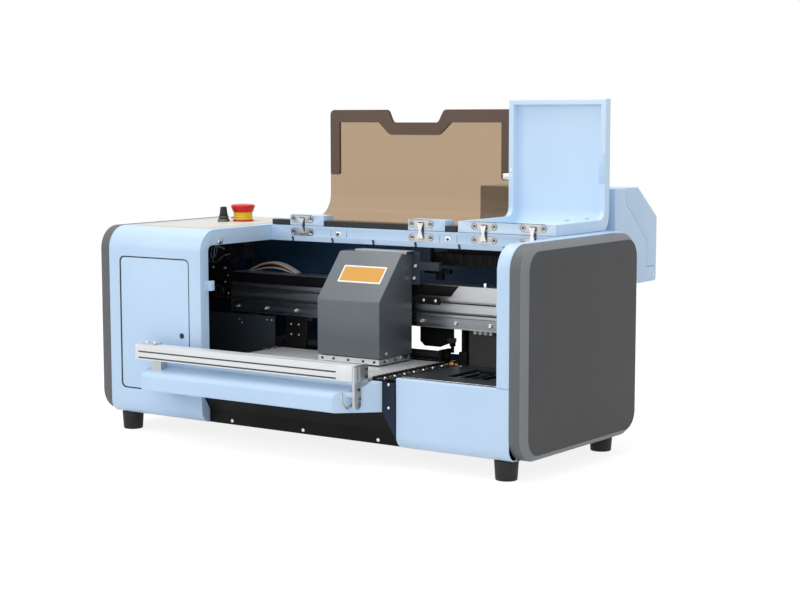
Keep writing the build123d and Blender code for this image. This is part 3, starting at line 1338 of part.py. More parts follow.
nodes = {
    "left_side_panel": left_side_panel,
    "right_side_panel": right_side_panel,
    "left_casing": left_casing,
    "access_panel": access_panel,
    "control_panel": control_panel,
    "stop_switch_body": stop_switch_body,
    "stop_switch_head": stop_switch_head,
    "selector_knob": selector_knob,
    "right_pillar": right_pillar,
    "right_low_casing": right_low_casing,
    "base_pan": base_pan,
    "feet": feet,
    "rear_panel": rear_panel,
    "power_inlet": power_inlet,
    "top_deck": top_deck,
    "hinge_beam": hinge_beam,
    "hinge_bases": hinge_bases,
    "smoked_cover": smoked_cover,
    "cover_rail": cover_rail,
    "cover_blocks": cover_blocks,
    "cover_leaves": cover_leaves,
    "cover_links": cover_links,
    "side_lid": side_lid,
    "lid_leaves": lid_leaves,
    "lid_links": lid_links,
    "catches": catches,
    "front_apron": front_apron,
    "apron_strip": apron_strip,
    "front_tray": front_tray,
    "guide_bar": guide_bar,
    "bar_brackets": bar_brackets,
    "bar_hook": bar_hook,
    "platen": platen,
    "platen_rails": platen_rails,
    "beam": beam,
    "guide_rail": guide_rail,
    "beam_supports": beam_supports,
    "carriage_motor": carriage_motor,
    "drive_belt": drive_belt,
    "drive_pulley": drive_pulley,
    "idle_pulley": idle_pulley,
    "carriage_cover": carriage_cover,
    "carriage_plate": carriage_plate,
    "head_plate": head_plate,
    "print_heads": print_heads,
    "feed_roller": feed_roller,
    "pinch_roller": pinch_roller,
    "roller_brackets": roller_brackets,
    "feed_motor": feed_motor,
    "left_guard": left_guard,
    "service_deck": service_deck,
    "capping_unit": capping_unit,
    "service_box": service_box,
    "power_supply": power_supply,
    "mainboard": mainboard,
    "flat_cable": flat_cable,
    "cable_chain": cable_chain,
    "ink_box": ink_box,
    "ink_box_lid": ink_box_lid,
    "ink_tanks": ink_tanks,
}
os.makedirs("parts", exist_ok=True)
for name, node in nodes.items():
    node.part.label = name
    export_step(node.part, f"parts/{name}.step")
print(len(nodes), "nodes, front face at", FRONT)
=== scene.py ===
import json
import math

import bmesh
import bpy
from mathutils import Matrix, Vector


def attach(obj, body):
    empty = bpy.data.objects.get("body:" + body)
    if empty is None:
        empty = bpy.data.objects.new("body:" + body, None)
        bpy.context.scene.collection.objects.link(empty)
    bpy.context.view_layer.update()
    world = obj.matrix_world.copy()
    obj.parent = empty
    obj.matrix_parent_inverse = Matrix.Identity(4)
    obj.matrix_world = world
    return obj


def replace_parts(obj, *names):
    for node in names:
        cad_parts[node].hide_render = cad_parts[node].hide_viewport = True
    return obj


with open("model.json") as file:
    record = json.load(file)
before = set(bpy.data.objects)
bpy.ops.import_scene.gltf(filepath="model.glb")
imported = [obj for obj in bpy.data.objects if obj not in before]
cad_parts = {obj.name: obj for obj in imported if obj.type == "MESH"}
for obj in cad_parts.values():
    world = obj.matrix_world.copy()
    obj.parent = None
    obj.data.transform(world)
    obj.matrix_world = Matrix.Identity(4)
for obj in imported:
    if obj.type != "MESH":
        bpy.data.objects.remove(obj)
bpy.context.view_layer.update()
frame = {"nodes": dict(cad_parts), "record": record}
NODES = frame["nodes"]
BODY_OF = {node: body for body, nodes in frame["record"]["behaviour"]["bodies"].items() for node in nodes}
FRONT = -0.207


def at(x, y, z):
    """A point from its place across, its depth behind the case's front face and its height, in mm."""
    return Vector((x / 1000, y / 1000 + FRONT, z / 1000))


# Camera and light

def aim_camera():
    """The photograph's view: from the front right, a little above the case's top."""
    azimuth, elevation, roll = (math.radians(degrees) for degrees in (37.702, 7.065, -0.385))
    standpoint = at(1618.8, -2044.4, 505.2)
    turn = (Matrix.Rotation(azimuth, 4, "Z") @ Matrix.Rotation(math.pi / 2 - elevation, 4, "X")
            @ Matrix.Rotation(roll, 4, "Z"))
    lens = bpy.data.cameras.new("view")
    lens.lens = 81.83
    lens.sensor_width = 36
    lens.shift_x = 0.1074
    lens.shift_y = 0.0379
    lens.clip_start = 0.05
    camera = bpy.data.objects.new("view", lens)
    camera.matrix_world = Matrix.Translation(standpoint) @ turn
    bpy.context.scene.collection.objects.link(camera)
    bpy.context.scene.camera = camera


def soft_lamp(name, place, target, width, height, watts):
    """A soft box that looks from a place at a target."""
    lamp = bpy.data.lights.new(name, "AREA")
    lamp.shape = "RECTANGLE"
    lamp.size = width
    lamp.size_y = height
    lamp.energy = watts
    box = bpy.data.objects.new(name, lamp)
    aim = (Vector(target) - Vector(place)).to_track_quat("-Z", "Y")
    box.matrix_world = Matrix.Translation(place) @ aim.to_matrix().to_4x4()
    bpy.context.scene.collection.objects.link(box)


def ray_test(tree, *kinds):
    """A value that is 1 for rays of these kinds and 0 for all others."""
    rays = tree.nodes.new("ShaderNodeLightPath")
    result = rays.outputs[kinds[0]]
    for kind in kinds[1:]:
        either = tree.nodes.new("ShaderNodeMath")
        either.operation = "MAXIMUM"
        tree.links.new(result, either.inputs[0])
        tree.links.new(rays.outputs[kind], either.inputs[1])
        result = either.outputs[0]
    return result


def show_mix(tree, first, second, output="Material Output"):
    """Shows a mix of two shaders as the surface, and gives the input for the second one's share."""
    mix = tree.nodes.new("ShaderNodeMixShader")
    tree.links.new(first.outputs[0], mix.inputs[1])
    tree.links.new(second.outputs[0], mix.inputs[2])
    tree.links.new(mix.outputs[0], tree.nodes[output].inputs["Surface"])
    return mix.inputs[0]


def studio():
    """A white room: four soft boxes, an even sky and a pale floor that keeps the shadow."""
    soft_lamp("overhead", (-0.2, -0.2, 2.4), (0, 0, 0.2), 2.4, 2.0, 36)
    soft_lamp("front_left", (-1.9, -2.4, 1.5), (-0.1, 0, 0.2), 1.6, 1.6, 16)
    soft_lamp("right", (2.6, -0.6, 1.4), (0.3, 0, 0.2), 1.4, 1.4, 5)
    soft_lamp("front_right", (0.7, -2.4, 1.2), (0.25, 0.1, 0.36), 0.9, 0.9, 7)
    world = bpy.data.worlds.new("room")
    world.use_nodes = True
    tree = world.node_tree
    sky = tree.nodes["Background"]
    sky.inputs["Color"].default_value = (0.93, 0.96, 1.0, 1)
    sky.inputs["Strength"].default_value = 0.55
    white = tree.nodes.new("ShaderNodeBackground")
    white.inputs["Color"].default_value = (1, 1, 1, 1)
    share = show_mix(tree, sky, white, "World Output")
    tree.links.new(ray_test(tree, "Is Camera Ray", "Is Transmission Ray", "Is Glossy Ray"), share)
    bpy.context.scene.world = world

    paper = new_finish("paper_floor", (0.86, 0.86, 0.86), 0.9, specular=0.1)
    tree = paper.node_tree
    base = tree.nodes["Principled BSDF"]
    faint = tree.nodes.new("ShaderNodeBsdfDiffuse")
    faint.inputs["Color"].default_value = (0.26, 0.26, 0.26, 1)
    glow = tree.nodes.new("ShaderNodeEmission")
    glow.inputs["Color"].default_value = (1, 1, 1, 1)
    glow.inputs["Strength"].default_value = 0.86
    both = tree.nodes.new("ShaderNodeAddShader")
    tree.links.new(faint.outputs[0], both.inputs[0])
    tree.links.new(glow.outputs[0], both.inputs[1])
    share = show_mix(tree, base, both)
    tree.links.new(ray_test(tree, "Is Camera Ray", "Is Glossy Ray"), share)
    mesh = bpy.data.meshes.new("floor")
    reach = 9
    mesh.from_pydata([(-reach, -reach, 0), (reach, -reach, 0), (reach, reach, 0), (-reach, reach, 0)], [],
                     [(0, 1, 2, 3)])
    floor = bpy.data.objects.new("floor", mesh)
    floor.data.materials.append(paper)
    bpy.context.scene.collection.objects.link(floor)
    bpy.context.scene.view_settings.view_transform = "Standard"


# Finishes

def new_finish(name, colour, rough, metal=0.0, coat=0.0, specular=0.5):
    """A principled material with its even values on the shader's own sockets."""
    material = bpy.data.materials.new(name)
    material.use_nodes = True
    shader = material.node_tree.nodes["Principled BSDF"]
    shader.inputs["Base Color"].default_value = (*colour, 1)
    shader.inputs["Roughness"].default_value = rough
    shader.inputs["Metallic"].default_value = metal
    shader.inputs["Coat Weight"].default_value = coat
    shader.inputs["Coat Roughness"].default_value = 0.25
    shader.inputs["Specular IOR Level"].default_value = specular
    return material


def pattern(material, scale, detail, stretch=(1, 1, 1)):
    """A noise on the piece's own place, drawn out along an axis."""
    tree = material.node_tree
    place = tree.nodes.new("ShaderNodeTexCoord")
    mapping = tree.nodes.new("ShaderNodeMapping")
    mapping.inputs["Scale"].default_value = stretch
    noise = tree.nodes.new("ShaderNodeTexNoise")
    noise.inputs["Scale"].default_value = scale
    noise.inputs["Detail"].default_value = detail
    tree.links.new(place.outputs["Object"], mapping.inputs["Vector"])
    tree.links.new(mapping.outputs[0], noise.inputs["Vector"])
    return noise


def mottle(material, scale, colour, other, low=0.35, high=0.65, stretch=(1, 1, 1)):
    """Lets the colour drift between two close tones."""
    tree = material.node_tree
    noise = pattern(material, scale, 4.0, stretch)
    ramp = tree.nodes.new("ShaderNodeValToRGB")
    ramp.color_ramp.elements[0].position = low
    ramp.color_ramp.elements[0].color = (*colour, 1)
    ramp.color_ramp.elements[1].position = high
    ramp.color_ramp.elements[1].color = (*other, 1)
    tree.links.new(noise.outputs["Fac"], ramp.inputs["Fac"])
    tree.links.new(ramp.outputs["Color"], tree.nodes["Principled BSDF"].inputs["Base Color"])


def uneven(material, scale, low, high, stretch=(1, 1, 1)):
    """Lets the roughness drift, as on a handled or wiped surface."""
    tree = material.node_tree
    noise = pattern(material, scale, 5.0, stretch)
    span = tree.nodes.new("ShaderNodeMapRange")
    span.inputs["From Min"].default_value = 0.3
    span.inputs["From Max"].default_value = 0.7
    span.inputs["To Min"].default_value = low
    span.inputs["To Max"].default_value = high
    tree.links.new(noise.outputs["Fac"], span.inputs["Value"])
    tree.links.new(span.outputs[0], tree.nodes["Principled BSDF"].inputs["Roughness"])


def grain(material, scale, depth, strength=0.5, stretch=(1, 1, 1)):
    """Raises a fine relief: depth in metres."""
    tree = material.node_tree
    noise = pattern(material, scale, 2.0, stretch)
    bump = tree.nodes.new("ShaderNodeBump")
    bump.inputs["Strength"].default_value = strength
    bump.inputs["Distance"].default_value = depth
    tree.links.new(noise.outputs["Fac"], bump.inputs["Height"])
    tree.links.new(bump.outputs[0], tree.nodes["Principled BSDF"].inputs["Normal"])


def powder_coat(name, colour, other, rough=0.42, depth=0.00006):
    """Powder coat: a fine orange peel, a slow drift of tone and of gloss."""
    material = new_finish(name, colour, rough, coat=0.25)
    mottle(material, 7, colour, other)
    uneven(material, 30, rough - 0.05, rough + 0.08)
    grain(material, 1400, depth)
    return material


def moulded(name, colour, other, rough=0.45, depth=0.00008, scale=1800, specular=0.35, drift=0.06):
    """Moulded plastic with a fine texture."""
    material = new_finish(name, colour, rough, specular=specular)
    mottle(material, 14, colour, other)
    uneven(material, 40, rough - drift, rough + drift)
    grain(material, scale, depth)
    return material


def dark_coat(name, colour, other, rough=0.5, depth=0.00005):
    """Matt dark paint inside the case, with little shine."""
    material = new_finish(name, colour, rough, specular=0.08)
    mottle(material, 9, colour, other)
    uneven(material, 35, rough - 0.06, rough + 0.08)
    grain(material, 1300, depth)
    return material


def bare_metal(name, colour, other, rough=0.3, stretch=(1, 1, 1), scale=60, depth=0.00003, metal=1.0):
    """Bare metal with a brushed or turned grain along one axis."""
    material = new_finish(name, colour, rough, metal=metal)
    mottle(material, scale, colour, other, 0.3, 0.7, stretch)
    uneven(material, scale * 2, rough - 0.08, rough + 0.12, stretch)
    grain(material, scale * 8, depth, 0.35, stretch)
    return material


ALONG_X, ALONG_Z = (0.04, 1, 1), (1, 1, 0.04)
BLUE = powder_coat("blue_powder_coat", (0.50, 0.665, 0.86), (0.53, 0.69, 0.885))
# Painted light: a lighter copy of the casing blue for the side lid, standing for the light on its inner face.
LID_BLUE_PAINTED_LIGHT = powder_coat("lid_coat_painted_light", (0.60, 0.76, 0.93), (0.63, 0.79, 0.95))
# Painted shade: the casing's blue darkened to navy for the rear panel, which lies in shadow inside the case.
REAR_BLUE_PAINTED_SHADE = powder_coat("blue_coat_painted_shade", (0.035, 0.10, 0.20), (0.05, 0.125, 0.24), 0.5)
SLATE = moulded("slate_side_plastic", (0.078, 0.078, 0.079), (0.081, 0.081, 0.082), 0.6,
                specular=0.2, drift=0.02)
# Painted sheen: a lighter copy of the slate plastic for the side panels' bevel.
BEVEL_PAINTED_SHEEN_GREY = moulded("slate_bevel_painted_sheen", (0.19, 0.20, 0.21), (0.20, 0.21, 0.22), 0.5, drift=0.02)
BLACK_COAT = dark_coat("black_powder_coat", (0.009, 0.009, 0.009), (0.015, 0.014, 0.013))
NAVY_COAT = dark_coat("navy_strip_coat", (0.018, 0.028, 0.045), (0.024, 0.036, 0.056), 0.4)
CARRIAGE_COAT = powder_coat("carriage_grey_coat", (0.115, 0.13, 0.145), (0.13, 0.145, 0.16), 0.38)
GUARD_COAT = dark_coat("guard_grey_coat", (0.042, 0.054, 0.064), (0.05, 0.063, 0.074), 0.42)
BOX_COAT = dark_coat("service_box_coat", (0.075, 0.072, 0.07), (0.085, 0.082, 0.08), 0.45)
DECK_COAT = dark_coat("deck_grey_coat", (0.022, 0.027, 0.031), (0.028, 0.033, 0.037), 0.42)
GROOVE_GREY = dark_coat("groove_grey", (0.10, 0.105, 0.11), (0.13, 0.135, 0.14), 0.5)
CHAIN_BLACK = dark_coat("chain_black", (0.008, 0.008, 0.009), (0.012, 0.012, 0.013), 0.38)
INK_GREY = dark_coat("ink_box_side_grey", (0.05, 0.05, 0.052), (0.058, 0.058, 0.06), 0.45)
CONTROL_FILM = moulded("control_film", (0.62, 0.585, 0.53), (0.66, 0.62, 0.565), 0.5)
YELLOW = moulded("collar_yellow", (0.82, 0.52, 0.02), (0.86, 0.56, 0.03), 0.22, 0.00002)
RED = moulded("stop_red", (0.62, 0.012, 0.01), (0.68, 0.016, 0.012), 0.25, 0.00003)
BLACK = moulded("black_plastic", (0.016, 0.016, 0.018), (0.024, 0.024, 0.026), 0.42)
RUBBER = moulded("feet_rubber", (0.014, 0.013, 0.012), (0.022, 0.02, 0.019), 0.62, 0.00012, 900)
BOARD_GREEN = moulded("board_green", (0.01, 0.11, 0.045), (0.015, 0.14, 0.06), 0.35)
BOTTLE = moulded("bottle_plastic", (0.78, 0.80, 0.82), (0.84, 0.85, 0.87), 0.4)
ALUMINIUM = bare_metal("anodised_bar", (0.70, 0.71, 0.72), (0.78, 0.79, 0.80), 0.42, ALONG_X, metal=0.35)
STRAP_METAL = bare_metal("strap_aluminium", (0.50, 0.51, 0.52), (0.60, 0.61, 0.62), 0.36, ALONG_Z, metal=0.7)
BEAM_METAL = bare_metal("beam_aluminium", (0.50, 0.51, 0.53), (0.58, 0.59, 0.61), 0.34, ALONG_X)
RAIL_METAL = bare_metal("guide_rail_steel", (0.26, 0.27, 0.29), (0.33, 0.34, 0.36), 0.3, ALONG_X)
LEAF_STEEL = bare_metal("hinge_leaf_steel", (0.50, 0.50, 0.50), (0.58, 0.58, 0.57), 0.34, ALONG_X)
# Painted shade: a deeper blue standing for the shade inside the hinge beam's slots.
SLOT_SHADOW_BLUE = powder_coat("slot_shadow_blue", (0.12, 0.27, 0.52), (0.14, 0.3, 0.56))
# Painted light: a lighter copy of the slate plastic for the side panels' outer edge.
EDGE_PAINTED_LIGHT_GREY = moulded("slate_edge_painted_light", (0.115, 0.12, 0.125), (0.122, 0.127, 0.132), 0.5, drift=0.02)
STEEL = bare_metal("bright_steel", (0.74, 0.74, 0.74), (0.84, 0.84, 0.83), 0.24)
SILVER_PLATE = bare_metal("head_plate_silver", (0.80, 0.80, 0.80), (0.90, 0.90, 0.89), 0.3, ALONG_X)
BRASS = bare_metal("brass", (0.72, 0.34, 0.10), (0.80, 0.42, 0.14), 0.3)
DULL_STEEL = bare_metal("dull_steel", (0.10, 0.10, 0.105), (0.14, 0.14, 0.145), 0.4, ALONG_X)
ROLLER_RUBBER = moulded("roller_rubber", (0.012, 0.012, 0.013), (0.018, 0.018, 0.02), 0.5)
PLATE_GREY = bare_metal("perforated_platen", (0.42, 0.425, 0.44), (0.66, 0.665, 0.68), 0.45,
                        scale=420, metal=0.25)
WHITE_WIRE = moulded("white_wire", (0.78, 0.78, 0.76), (0.84, 0.84, 0.82), 0.4)


def bronze_acrylic():
    """Clear bronze acrylic: light passes straight through, tinted, with a polished face."""
    material = new_finish("bronze_acrylic", (0.50, 0.36, 0.245), 0.03)
    tree = material.node_tree
    shader = tree.nodes["Principled BSDF"]
    shader.inputs["IOR"].default_value = 1.49
    uneven(material, 25, 0.02, 0.05)
    clear = tree.nodes.new("ShaderNodeBsdfTransparent")
    clear.inputs["Color"].default_value = (0.705, 0.61, 0.50, 1)
    share = show_mix(tree, clear, shader)
    share.default_value = 0.11
    return material


BRONZE = bronze_acrylic()
BORDER_BROWN = dark_coat("cover_border_brown", (0.135, 0.094, 0.074), (0.145, 0.102, 0.08), 0.3, 0.00001)
LABEL_WHITE = moulded("label_white", (0.82, 0.80, 0.76), (0.86, 0.84, 0.80), 0.4, 0.00001)
LABEL_ORANGE = moulded("label_orange", (0.64, 0.31, 0.055), (0.68, 0.34, 0.065), 0.4, 0.00001)
STRIP_GREY = powder_coat("carriage_strip_grey", (0.40, 0.42, 0.44), (0.44, 0.46, 0.48), 0.35)
WIRES = {
    "white": WHITE_WIRE,
    "red": moulded("red_wire", (0.45, 0.03, 0.02), (0.55, 0.04, 0.03), 0.4),
    "blue": moulded("blue_wire", (0.02, 0.05, 0.30), (0.03, 0.07, 0.36), 0.4),
    "black": moulded("black_wire", (0.012, 0.012, 0.014), (0.02, 0.02, 0.022), 0.4),
    "navy": moulded("navy_sleeve", (0.015, 0.025, 0.08), (0.02, 0.035, 0.11), 0.5, 0.00015, 700),
    "orange": moulded("orange_wire", (0.75, 0.26, 0.03), (0.8, 0.3, 0.04), 0.4),
}

FINISH_OF = {node: finish for finish, nodes in (
    (SLATE, "left_side_panel right_side_panel"),
    (BLUE, "left_casing access_panel right_pillar right_low_casing top_deck hinge_beam cover_blocks "
     "side_lid catches front_tray ink_box ink_box_lid"),
    (CONTROL_FILM, "control_panel"),
    (YELLOW, "stop_switch_body"),
    (RED, "stop_switch_head"),
    (BLACK, "selector_knob power_inlet cover_rail print_heads capping_unit"),
    (BLACK_COAT, "base_pan front_apron platen_rails beam_supports carriage_motor roller_brackets "
     "feed_motor"),
    (RUBBER, "feet drive_belt"),
    (REAR_BLUE_PAINTED_SHADE, "rear_panel"),
    (LEAF_STEEL, "hinge_bases cover_leaves lid_leaves bar_hook"),
    (BRONZE, "smoked_cover"),
    (STEEL, "cover_links lid_links"),
    (NAVY_COAT, "apron_strip"),
    (ALUMINIUM, "guide_bar power_supply"),
    (STRAP_METAL, "bar_brackets"),
    (PLATE_GREY, "platen"),
    (BEAM_METAL, "beam"),
    (RAIL_METAL, "guide_rail"),
    (DULL_STEEL, "drive_pulley idle_pulley feed_roller"),
    (CARRIAGE_COAT, "carriage_cover"),
    (GUARD_COAT, "carriage_plate left_guard"),
    (SILVER_PLATE, "head_plate"),
    (ROLLER_RUBBER, "pinch_roller"),
    (DECK_COAT, "service_deck"),
    (BOX_COAT, "service_box"),
    (BOARD_GREEN, "mainboard"),
    (WHITE_WIRE, "flat_cable"),
    (CHAIN_BLACK, "cable_chain"),
    (BOTTLE, "ink_tanks"),
) for node in nodes.split()}


def dress(obj, *materials):
    """Gives an object these finishes in place of the ones that it has."""
    obj.data.materials.clear()
    for material in materials:
        obj.data.materials.append(material)


for node, material in FINISH_OF.items():
    dress(NODES[node], material)


# Shaping tools

def smooth_below(mesh, degrees=32):
    """Smooth shading, with every edge sharper than an angle kept crisp."""
    mesh.polygons.foreach_set("use_smooth", [True] * len(mesh.polygons))
    mesh.set_sharp_from_angle(angle=math.radians(degrees))
    mesh.update()


def settle(name, form, body, material, degrees=32):
    """Turns a worked form into a finished piece on its body, with one finish or a row of them."""
    mesh = bpy.data.meshes.new(name)
    form.to_mesh(mesh)
    form.free()
    smooth_below(mesh, degrees)
    piece = bpy.data.objects.new(name, mesh)
    bpy.context.scene.collection.objects.link(piece)
    for finish in material if isinstance(material, tuple) else (material,):
        mesh.materials.append(finish)
    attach(piece, body)
    return piece


def finished(work, name, body, degrees=35):
    """Makes what an object's modifier gives into a plain mesh on a body."""
    bpy.context.view_layer.update()
    seen = work.evaluated_get(bpy.context.evaluated_depsgraph_get())
    mesh = bpy.data.meshes.new_from_object(seen)
    work.modifiers.clear()
    bpy.data.objects.remove(work)
    smooth_below(mesh, degrees)
    piece = bpy.data.objects.new(name, mesh)
    bpy.context.scene.collection.objects.link(piece)
    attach(piece, body)
    return piece


def join_form(form, part, index=0):
    """Adds a worked form to another, with its faces outwards and a finish number for them."""
    bmesh.ops.recalc_face_normals(part, faces=part.faces)
    for face in part.faces:
        face.material_index = index
    mesh = bpy.data.meshes.new("work")
    part.to_mesh(mesh)
    part.free()
    form.from_mesh(mesh)
    bpy.data.meshes.remove(mesh)


def ease_edges(part, edges, ease, segments=2):
    """Rounds edges of a form by an easing in mm."""
    bmesh.ops.bevel(part, geom=edges, offset=ease / 1000, segments=segments, affect="EDGES", profile=0.5,
                    clamp_overlap=True)


def slab(form, low, high, ease=0.3, index=0, segments=2):
    """A block between two corners in mm, with eased edges."""
    part = bmesh.new()
    bmesh.ops.create_cube(part, size=1)
    a, b = at(*low), at(*high)
    for vert in part.verts:
        vert.co = Vector(a[i] if vert.co[i] < 0 else b[i] for i in range(3))
    ease_edges(part, part.edges[:], ease, segments)
    join_form(form, part, index)


def plate(form, outline, near, far, along="y", ease=0.25):
    """A plate from an outline in mm: along y the outline is (x, z), along x (y, z), along z (x, y)."""
    def point(a, b, c):
        return {"y": (a, c, b), "x": (c, a, b), "z": (a, b, c)}[along]

    part = bmesh.new()
    base = [part.verts.new(at(*point(a, b, near))) for a, b in outline]
    face = part.faces.new(base)
    made = bmesh.ops.extrude_face_region(part, geom=[face])
    shift = at(*point(0, 0, far)) - at(*point(0, 0, near))
    for item in made["geom"]:
        if isinstance(item, bmesh.types.BMVert):
            item.co += shift
    bmesh.ops.recalc_face_normals(part, faces=part.faces)
    bmesh.ops.recalc_face_normals(part, faces=part.faces)
    if ease:
        ease_edges(part, [e for e in part.edges if e.is_manifold and e.calc_face_angle(0) > 0.6], ease)
    join_form(form, part)


def blocks(name, body, material, *boxes):
    """A piece made of blocks: boxes of (low corner, high corner, easing) in mm."""
    form = bmesh.new()
    for low, high, ease in boxes:
        slab(form, low, high, ease)
    return settle(name, form, body, material)


def rounded(corners, steps=6):
    """An outline's points from (a, b) or (a, b, radius) corners."""
    points = []
    count = len(corners)
    for i, corner in enumerate(corners):
        here = Vector(corner[:2])
        radius = corner[2] if len(corner) > 2 else 0
        if not radius:
            points.append(tuple(here))
            continue
        before = (Vector(corners[i - 1][:2]) - here).normalized()
        after = (Vector(corners[(i + 1) % count][:2]) - here).normalized()
        half = before.angle(after) / 2
        reach = radius / math.tan(half)
        centre = here + (before + after).normalized() * (radius / math.sin(half))
        start = here + before * reach - centre
        end = here + after * reach - centre
        turn = math.atan2(start.x * end.y - start.y * end.x, start.dot(end))
        for k in range(steps + 1):
            angle = turn * k / steps
            c, s = math.cos(angle), math.sin(angle)
            points.append((centre.x + start.x * c - start.y * s, centre.y + start.x * s + start.y * c))
    return points


def round_box(x0, x1, z0, z1, radius, steps=6):
    """The outline of a rectangle with four corners rounded alike."""
    return rounded([(x0, z0, radius), (x1, z0, radius), (x1, z1, radius), (x0, z1, radius)], steps)


def frame_boxes(left, right, low, high, width):
    """The corner pairs of a rectangular frame's strips: the first two run the whole way across."""
    return (((left, low), (right, low + width)), ((left, high - width), (right, high)),
            ((left, low + width), (left + width, high - width)),
            ((right - width, low + width), (right, high - width)))


def ring_plate(form, outer, inner, near, far, along="z"):
    """A flat ring between two outlines of equally many points, from one level to another."""
    part = bmesh.new()
    loops = []
    for level in (near, far):
        for outline in (outer, inner):
            loops.append([part.verts.new(at(a, b, level) if along == "z" else at(a, level, b))
                          for a, b in outline])
    low_out, low_in, high_out, high_in = loops
    for first, second in ((low_out, low_in), (high_in, high_out), (low_in, high_in), (high_out, low_out)):
        for i in range(len(outer)):
            j = (i + 1) % len(outer)
            part.faces.new((first[i], first[j], second[j], second[i]))
    join_form(form, part)


def tube(form, rings, index=0):
    """Skins rings of equally many places, closes both ends and adds the result to a form."""
    part = bmesh.new()
    loops = [[part.verts.new(place) for place in ring] for ring in rings]
    for low, high in zip(loops, loops[1:]):
        for k in range(len(low)):
            j = (k + 1) % len(low)
            part.faces.new((low[k], low[j], high[j], high[k]))
    part.faces.new(loops[0][::-1])
    part.faces.new(loops[-1])
    join_form(form, part, index)


def around(across, other, sides):
    """Directions round an axis, each with its angle."""
    for k in range(sides):
        angle = 2 * math.pi * k / sides
        yield angle, across * math.cos(angle) + other * math.sin(angle)


def turned(form, centre, axis, rings, sides=24, index=0):
    """A turned form: rings of (radius, height) in mm along an axis, where a radius may be a function."""
    axis = Vector(axis).normalized()
    across = axis.orthogonal().normalized()
    other = axis.cross(across)
    centre = at(*centre)
    tube(form, [[centre + out * ((radius(angle) if callable(radius) else radius) / 1000)
                 + axis * (height / 1000) for angle, out in around(across, other, sides)]
                for radius, height in rings], index)


def strand(form, points, radius, sides=8, index=0, steps=6):
    """A wire or rod through points in mm, on a smooth curve with closed ends."""
    knots = [at(*p) for p in points]
    path = []
    for i in range(len(knots) - 1):
        a, b = knots[max(i - 1, 0)], knots[i]
        c, d = knots[i + 1], knots[min(i + 2, len(knots) - 1)]
        for k in range(steps):
            t = k / steps
            path.append(0.5 * (2 * b + (c - a) * t + (2 * a - 5 * b + 4 * c - d) * t * t
                               + (3 * b - a - 3 * c + d) * t ** 3))
    path.append(knots[-1])
    ahead = (path[1] - path[0]).normalized()
    across = ahead.orthogonal().normalized()
    rings = []
    for i, place in enumerate(path):
        ahead = (path[min(i + 1, len(path) - 1)] - path[max(i - 1, 0)]).normalized()
        across = (across - ahead * across.dot(ahead)).normalized()
        rings.append([place + out * (radius / 1000)
                      for angle, out in around(across, ahead.cross(across), sides)])
    tube(form, rings, index)


def eased(node, width, material=None, angle=30):
    """A CAD node's own shape with its sharp edges rounded, shown in its place."""
    form = bmesh.new()
    form.from_mesh(NODES[node].data)
    bmesh.ops.remove_doubles(form, verts=form.verts, dist=0.000002)
    bmesh.ops.dissolve_limit(form, angle_limit=math.radians(0.4), verts=form.verts, edges=form.edges)
    mesh = bpy.data.meshes.new(node + "_work")
    form.to_mesh(mesh)
    form.free()
    work = bpy.data.objects.new(node + "_work", mesh)
    bpy.context.scene.collection.objects.link(work)
    bevel = work.modifiers.new("round", "BEVEL")
    bevel.width = width / 1000
    bevel.segments = 3
    bevel.limit_method = "ANGLE"
    bevel.angle_limit = math.radians(angle)
    bevel.use_clamp_overlap = True
    piece = finished(work, node + "_shape", BODY_OF[node], 28)
    finishes = material or FINISH_OF[node]
    dress(piece, *(finishes if isinstance(finishes, tuple) else [finishes]))
    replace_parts(piece, node)
    return piece


# Fasteners, set out by Geometry Nodes

def recess(angle):
    """The outline of a cross recess: how far it reaches at an angle."""
    arm, reach = 0.34, 0.62
    c, s = abs(math.cos(angle)), abs(math.sin(angle))
    along = min(reach / max(c, 1e-6), arm / 2 / max(s, 1e-6))
    over = min(reach / max(s, 1e-6), arm / 2 / max(c, 1e-6))
    return max(along, over)


def socket_outline(angle):
    """The outline of a hexagon socket."""
    turn = (angle + math.pi / 6) % (math.pi / 3) - math.pi / 6
    return 0.46 / math.cos(turn)


def head_shape(kind):
    """A screw head of radius 1 on its seat, kept hidden as the pattern for its instances."""
    form = bmesh.new()
    if kind == "pan":
        rings = [(1.0, 0.0), (1.0, 0.18), (0.96, 0.32), (0.8, 0.5), (0.66, 0.56)]
        rings += [(recess, 0.57), (lambda a: recess(a) * 0.86, 0.2)]
    elif kind == "socket":
        rings = [(1.0, 0.0), (1.0, 0.86), (0.94, 0.96), (0.86, 1.0), (0.56, 1.0)]
        rings += [(socket_outline, 0.98), (lambda a: socket_outline(a) * 0.98, 0.45)]
    else:
        rings = [(1.0, 0.0), (1.0, 0.1), (0.94, 0.16), (0.62, 0.1)]
        rings += [(recess, 0.08), (lambda a: recess(a) * 0.8, -0.25)]
    scaled = [((lambda a, r=r: r(a) * 1000) if callable(r) else r * 1000, z * 1000) for r, z in rings]
    turned(form, (0, -FRONT * 1000, 0), (0, 0, 1), scaled, 24)
    mesh = bpy.data.meshes.new("head_" + kind)
    form.to_mesh(mesh)
    form.free()
    smooth_below(mesh, 40)
    return bpy.data.objects.new("head_" + kind, mesh)


